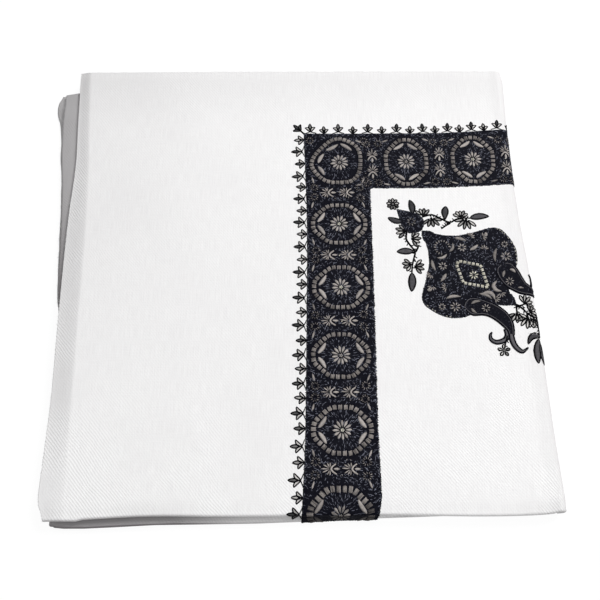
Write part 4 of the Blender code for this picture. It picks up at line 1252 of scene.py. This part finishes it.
# Sprays: from each side of the bud a thorny black stem runs out, with satin leaves of slate silk
# and half-open flowers of outlined petals. A last bunch hangs below the body, at the right fold.
STEMS = (((133.9, 63.6), (144.8, 66.6), (154.5, 61), (164.1, 55.9), (170.6, 60.6), (177.6, 62.3),
          (187, 61.9)),
         ((164.1, 55.9), (159.5, 53.2), (154.2, 49)),
         ((116.6, 48.2), (114.5, 36.4), (119.1, 28.9), (124.7, 21.4), (122.1, 13.1), (120.1, 4.9),
          (119.3, -3.4)),
         ((124.7, 21.4), (127.5, 26.5), (128.6, 29.5)), ((108, 74.4), (104.5, 77)),
         ((226.8, -39.6), (230.9, -40.9), (235.6, -38.8)),
         ((227.2, -39.9), (227.0, -44.9), (226.9, -48.4)),
         ((229.0, -40.6), (233.4, -43.9), (237.6, -48.9), (237.9, -54.3)),
         ((237.6, -48.9), (244.9, -54.8)),
         ((214.5, -74), (212.5, -80), (210.3, -87)), ((248.6, -50), (249.6, -61), (249.8, -72)))
LEAVES = {"x": (123.6, 112.5, 158.8, 187.0, 122.0, 119.3, 250.6, 247.4, 249.0),
          "y": (67.8, 57.4, 60.2, 61.9, 21.6, -3.6, -74.0, -77.4, -82.0),
          "to_x": (121.0, 96.7, 160.6, 206.8, 104.7, 118.0, 235.3, 243.8, 252.0),
          "to_y": (83.8, 62.0, 76.0, 64.1, 21.4, -24.4, -82.8, -103.4, -104.0),
          "width": (6.6, 6.2, 7.2, 7.0, 7.0, 7.8, 6.2, 8.4, 6.0),
          "bend": (-1.0, 1.2, 0.6, 1.2, -0.6, 0.5, -4.6, -1.2, -0.6),
          "widest": (0.9, 1.0, 1.35, 0.85, 0.9, 0.9, 0.7, 0.9, 0.8)}
FANS = {"x": (134.9, 143.5, 176.1, 182.1, 115.3, 120.6, 119.5, 122.3, 235.3, 240.0, 226.9, 237.9,
              244.0),
        "y": (64.2, 62.4, 62.7, 61.2, 45.7, 36.6, 6.4, 4.0, -38.9, -48.2, -48.4, -53.0, -54.4),
        "turn": (95, -78, 92, -105, 178, 5, 188, -2, 48, 28, -92, -98, -72),
        "size": (10.2, 12.2, 8.6, 13.0, 11.0, 10.6, 9.6, 10.6, 10.4, 9.6, 11.5, 13.6, 11.0),
        "petals": (4, 5, 5, 5, 4, 5, 4, 4, 5, 5, 5, 5, 4)}
WHOLE_FLOWERS = {"x": (102.4, 209.7), "y": (78.9, -90.0), "size": (6.8, 6.4), "petals": (9, 5)}

sprays = Needlework()
for stem in STEMS:
    cord(sprays, stem, (1.25, 0.85), ON_CLOTH, 1.0, 0.02)
    line = np.array(stem)
    for start, stop in zip(line, line[1:]):
        length = np.hypot(*(stop - start))
        run = (stop - start) / length
        side = np.array((-run[1], run[0]))
        for along in np.arange(2.0, length, 3.3):
            hand = draw.choice((-1, 1))
            spot = start + run * along
            tip = spot + (side * hand * 1.0 + run * draw.uniform(-0.2, 0.9)) * draw.uniform(2.4, 3.8)
            sprays.stitches(spot, tip, 1.3, ON_CLOTH, 0.9, 0.02)
for x, y, to_x, to_y, width, bend, widest in zip(*LEAVES.values()):
    outlined_leaf(sprays, (x, y), (to_x, to_y), width, draw.uniform(0.35, 0.6), bend, widest, fill=2)
for x, y, turn, size, petals in zip(*FANS.values()):
    root = np.array((x, y))
    for ray in fanned(turn, petals, 31):
        outlined_leaf(sprays, root + ray * size * 0.22, root + ray * size * draw.uniform(0.9, 1.05),
                      3.0, draw.uniform(0.3, 1.0), widest=1.3)
    cord(sprays, (root, root + towards(math.radians(turn)) * size * 0.25), 1.5, ON_CLOTH, 1.0, 0.0)
for x, y, size, petals in zip(*WHOLE_FLOWERS.values()):
    heart = np.array((x, y))
    for ray in rays(petals, 0.25):
        outlined_leaf(sprays, heart + ray * 1.6, heart + ray * size, 3.0, draw.uniform(0.2, 0.9),
                      widest=1.3)
    sprays.stitches(heart - (1.6, 0), heart + (1.6, 0), 2.6, 0.1, 0.9, 0.3, 1)

growth = sprays.sew("paisley_sprays", [black_silk, pale_silk, slate_silk])
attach(growth, "root")
LEAF_NODES = ("bud_up", "bud_side", "right_up", "right_end", "down_side", "down_end")
FLOWER_NODES = ("tip", "near_right", "right", "far_right", "near_down", "down", "far_down", "low")
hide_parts(*["spray_leaf_" + n for n in LEAF_NODES],
            *["spray_flower_" + n for n in FLOWER_NODES])


# Frayed ends: both raw edges are unhemmed, so short loose fibres of the white wool stand out all
# along them. At one place near the front a few of the fibres are brown.
FRAY_COUNT = 620
LONG_FIBRES = 0.07
BROWN_FIBRES = (-204, -192)
fibre_points, fibre_tones = [], []
for edge, reach in ((points[0], 1.5), (points[-1], 2.2)):
    walked = np.concatenate(((0,), np.cumsum(np.linalg.norm(np.diff(edge, axis=0), axis=1))))
    stops = np.sort(draw.uniform(0, walked[-1], FRAY_COUNT))
    roots = np.stack([np.interp(stops, walked, edge[:, k]) for k in range(3)], 1)
    length = reach * draw.uniform(0.35, 1.0, FRAY_COUNT)
    length = length * np.where(draw.random(FRAY_COUNT) < LONG_FIBRES, 2.2, 1)
    lean = np.stack((-0.8 + 0 * length, draw.normal(0, 0.55, FRAY_COUNT),
                     draw.uniform(-0.55, 0.2, FRAY_COUNT)), 1)
    bow = np.stack((0 * length, draw.normal(0, 0.25, FRAY_COUNT),
                    draw.uniform(-0.3, 0.1, FRAY_COUNT)), 1)
    for share, thick in ((-0.4, 0.13), (0.5, 0.1), (1.0, 0.02)):
        middle = roots + (lean * share + bow * share**2) * length[:, None]
        middle[:, 2] = np.maximum(middle[:, 2], 0.3)
        for turn in (0.5, 2.6, 4.7):
            fibre_points.append(middle + thick * np.array((0, math.cos(turn), math.sin(turn))))
    brown = (roots[:, 1] > BROWN_FIBRES[0]) & (roots[:, 1] < BROWN_FIBRES[1])
    brown = brown & (draw.random(FRAY_COUNT) < 0.5)
    fibre_tones.append(np.where(brown & (reach < 2), 0.0, draw.uniform(0.7, 1.0, FRAY_COUNT)))

fibre_points = np.array(fibre_points).reshape(2, 9, FRAY_COUNT, 3)
sides = [(ring + k, ring + (k + 1) % 3, ring + 3 + (k + 1) % 3, ring + 3 + k)
         for ring in (0, 3) for k in range(3)]
first = np.arange(FRAY_COUNT)[:, None, None] + FRAY_COUNT * np.array(sides)
faces = np.concatenate((first.reshape(-1, 4), first.reshape(-1, 4) + 9 * FRAY_COUNT))
loose_wool = thread_finish("loose_wool", (0.06, 0.03, 0.025), (0.80, 0.79, 0.78), 0.8)
frayed = build_mesh("frayed_ends", (fibre_points.reshape(-1, 3) - MIDDLE) / 1000, faces.ravel(),
                    np.full(len(faces), 4), [loose_wool])
mark(frayed, "tone", np.tile(np.array(fibre_tones)[:, None], (1, 9, 1)))
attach(frayed, "root")
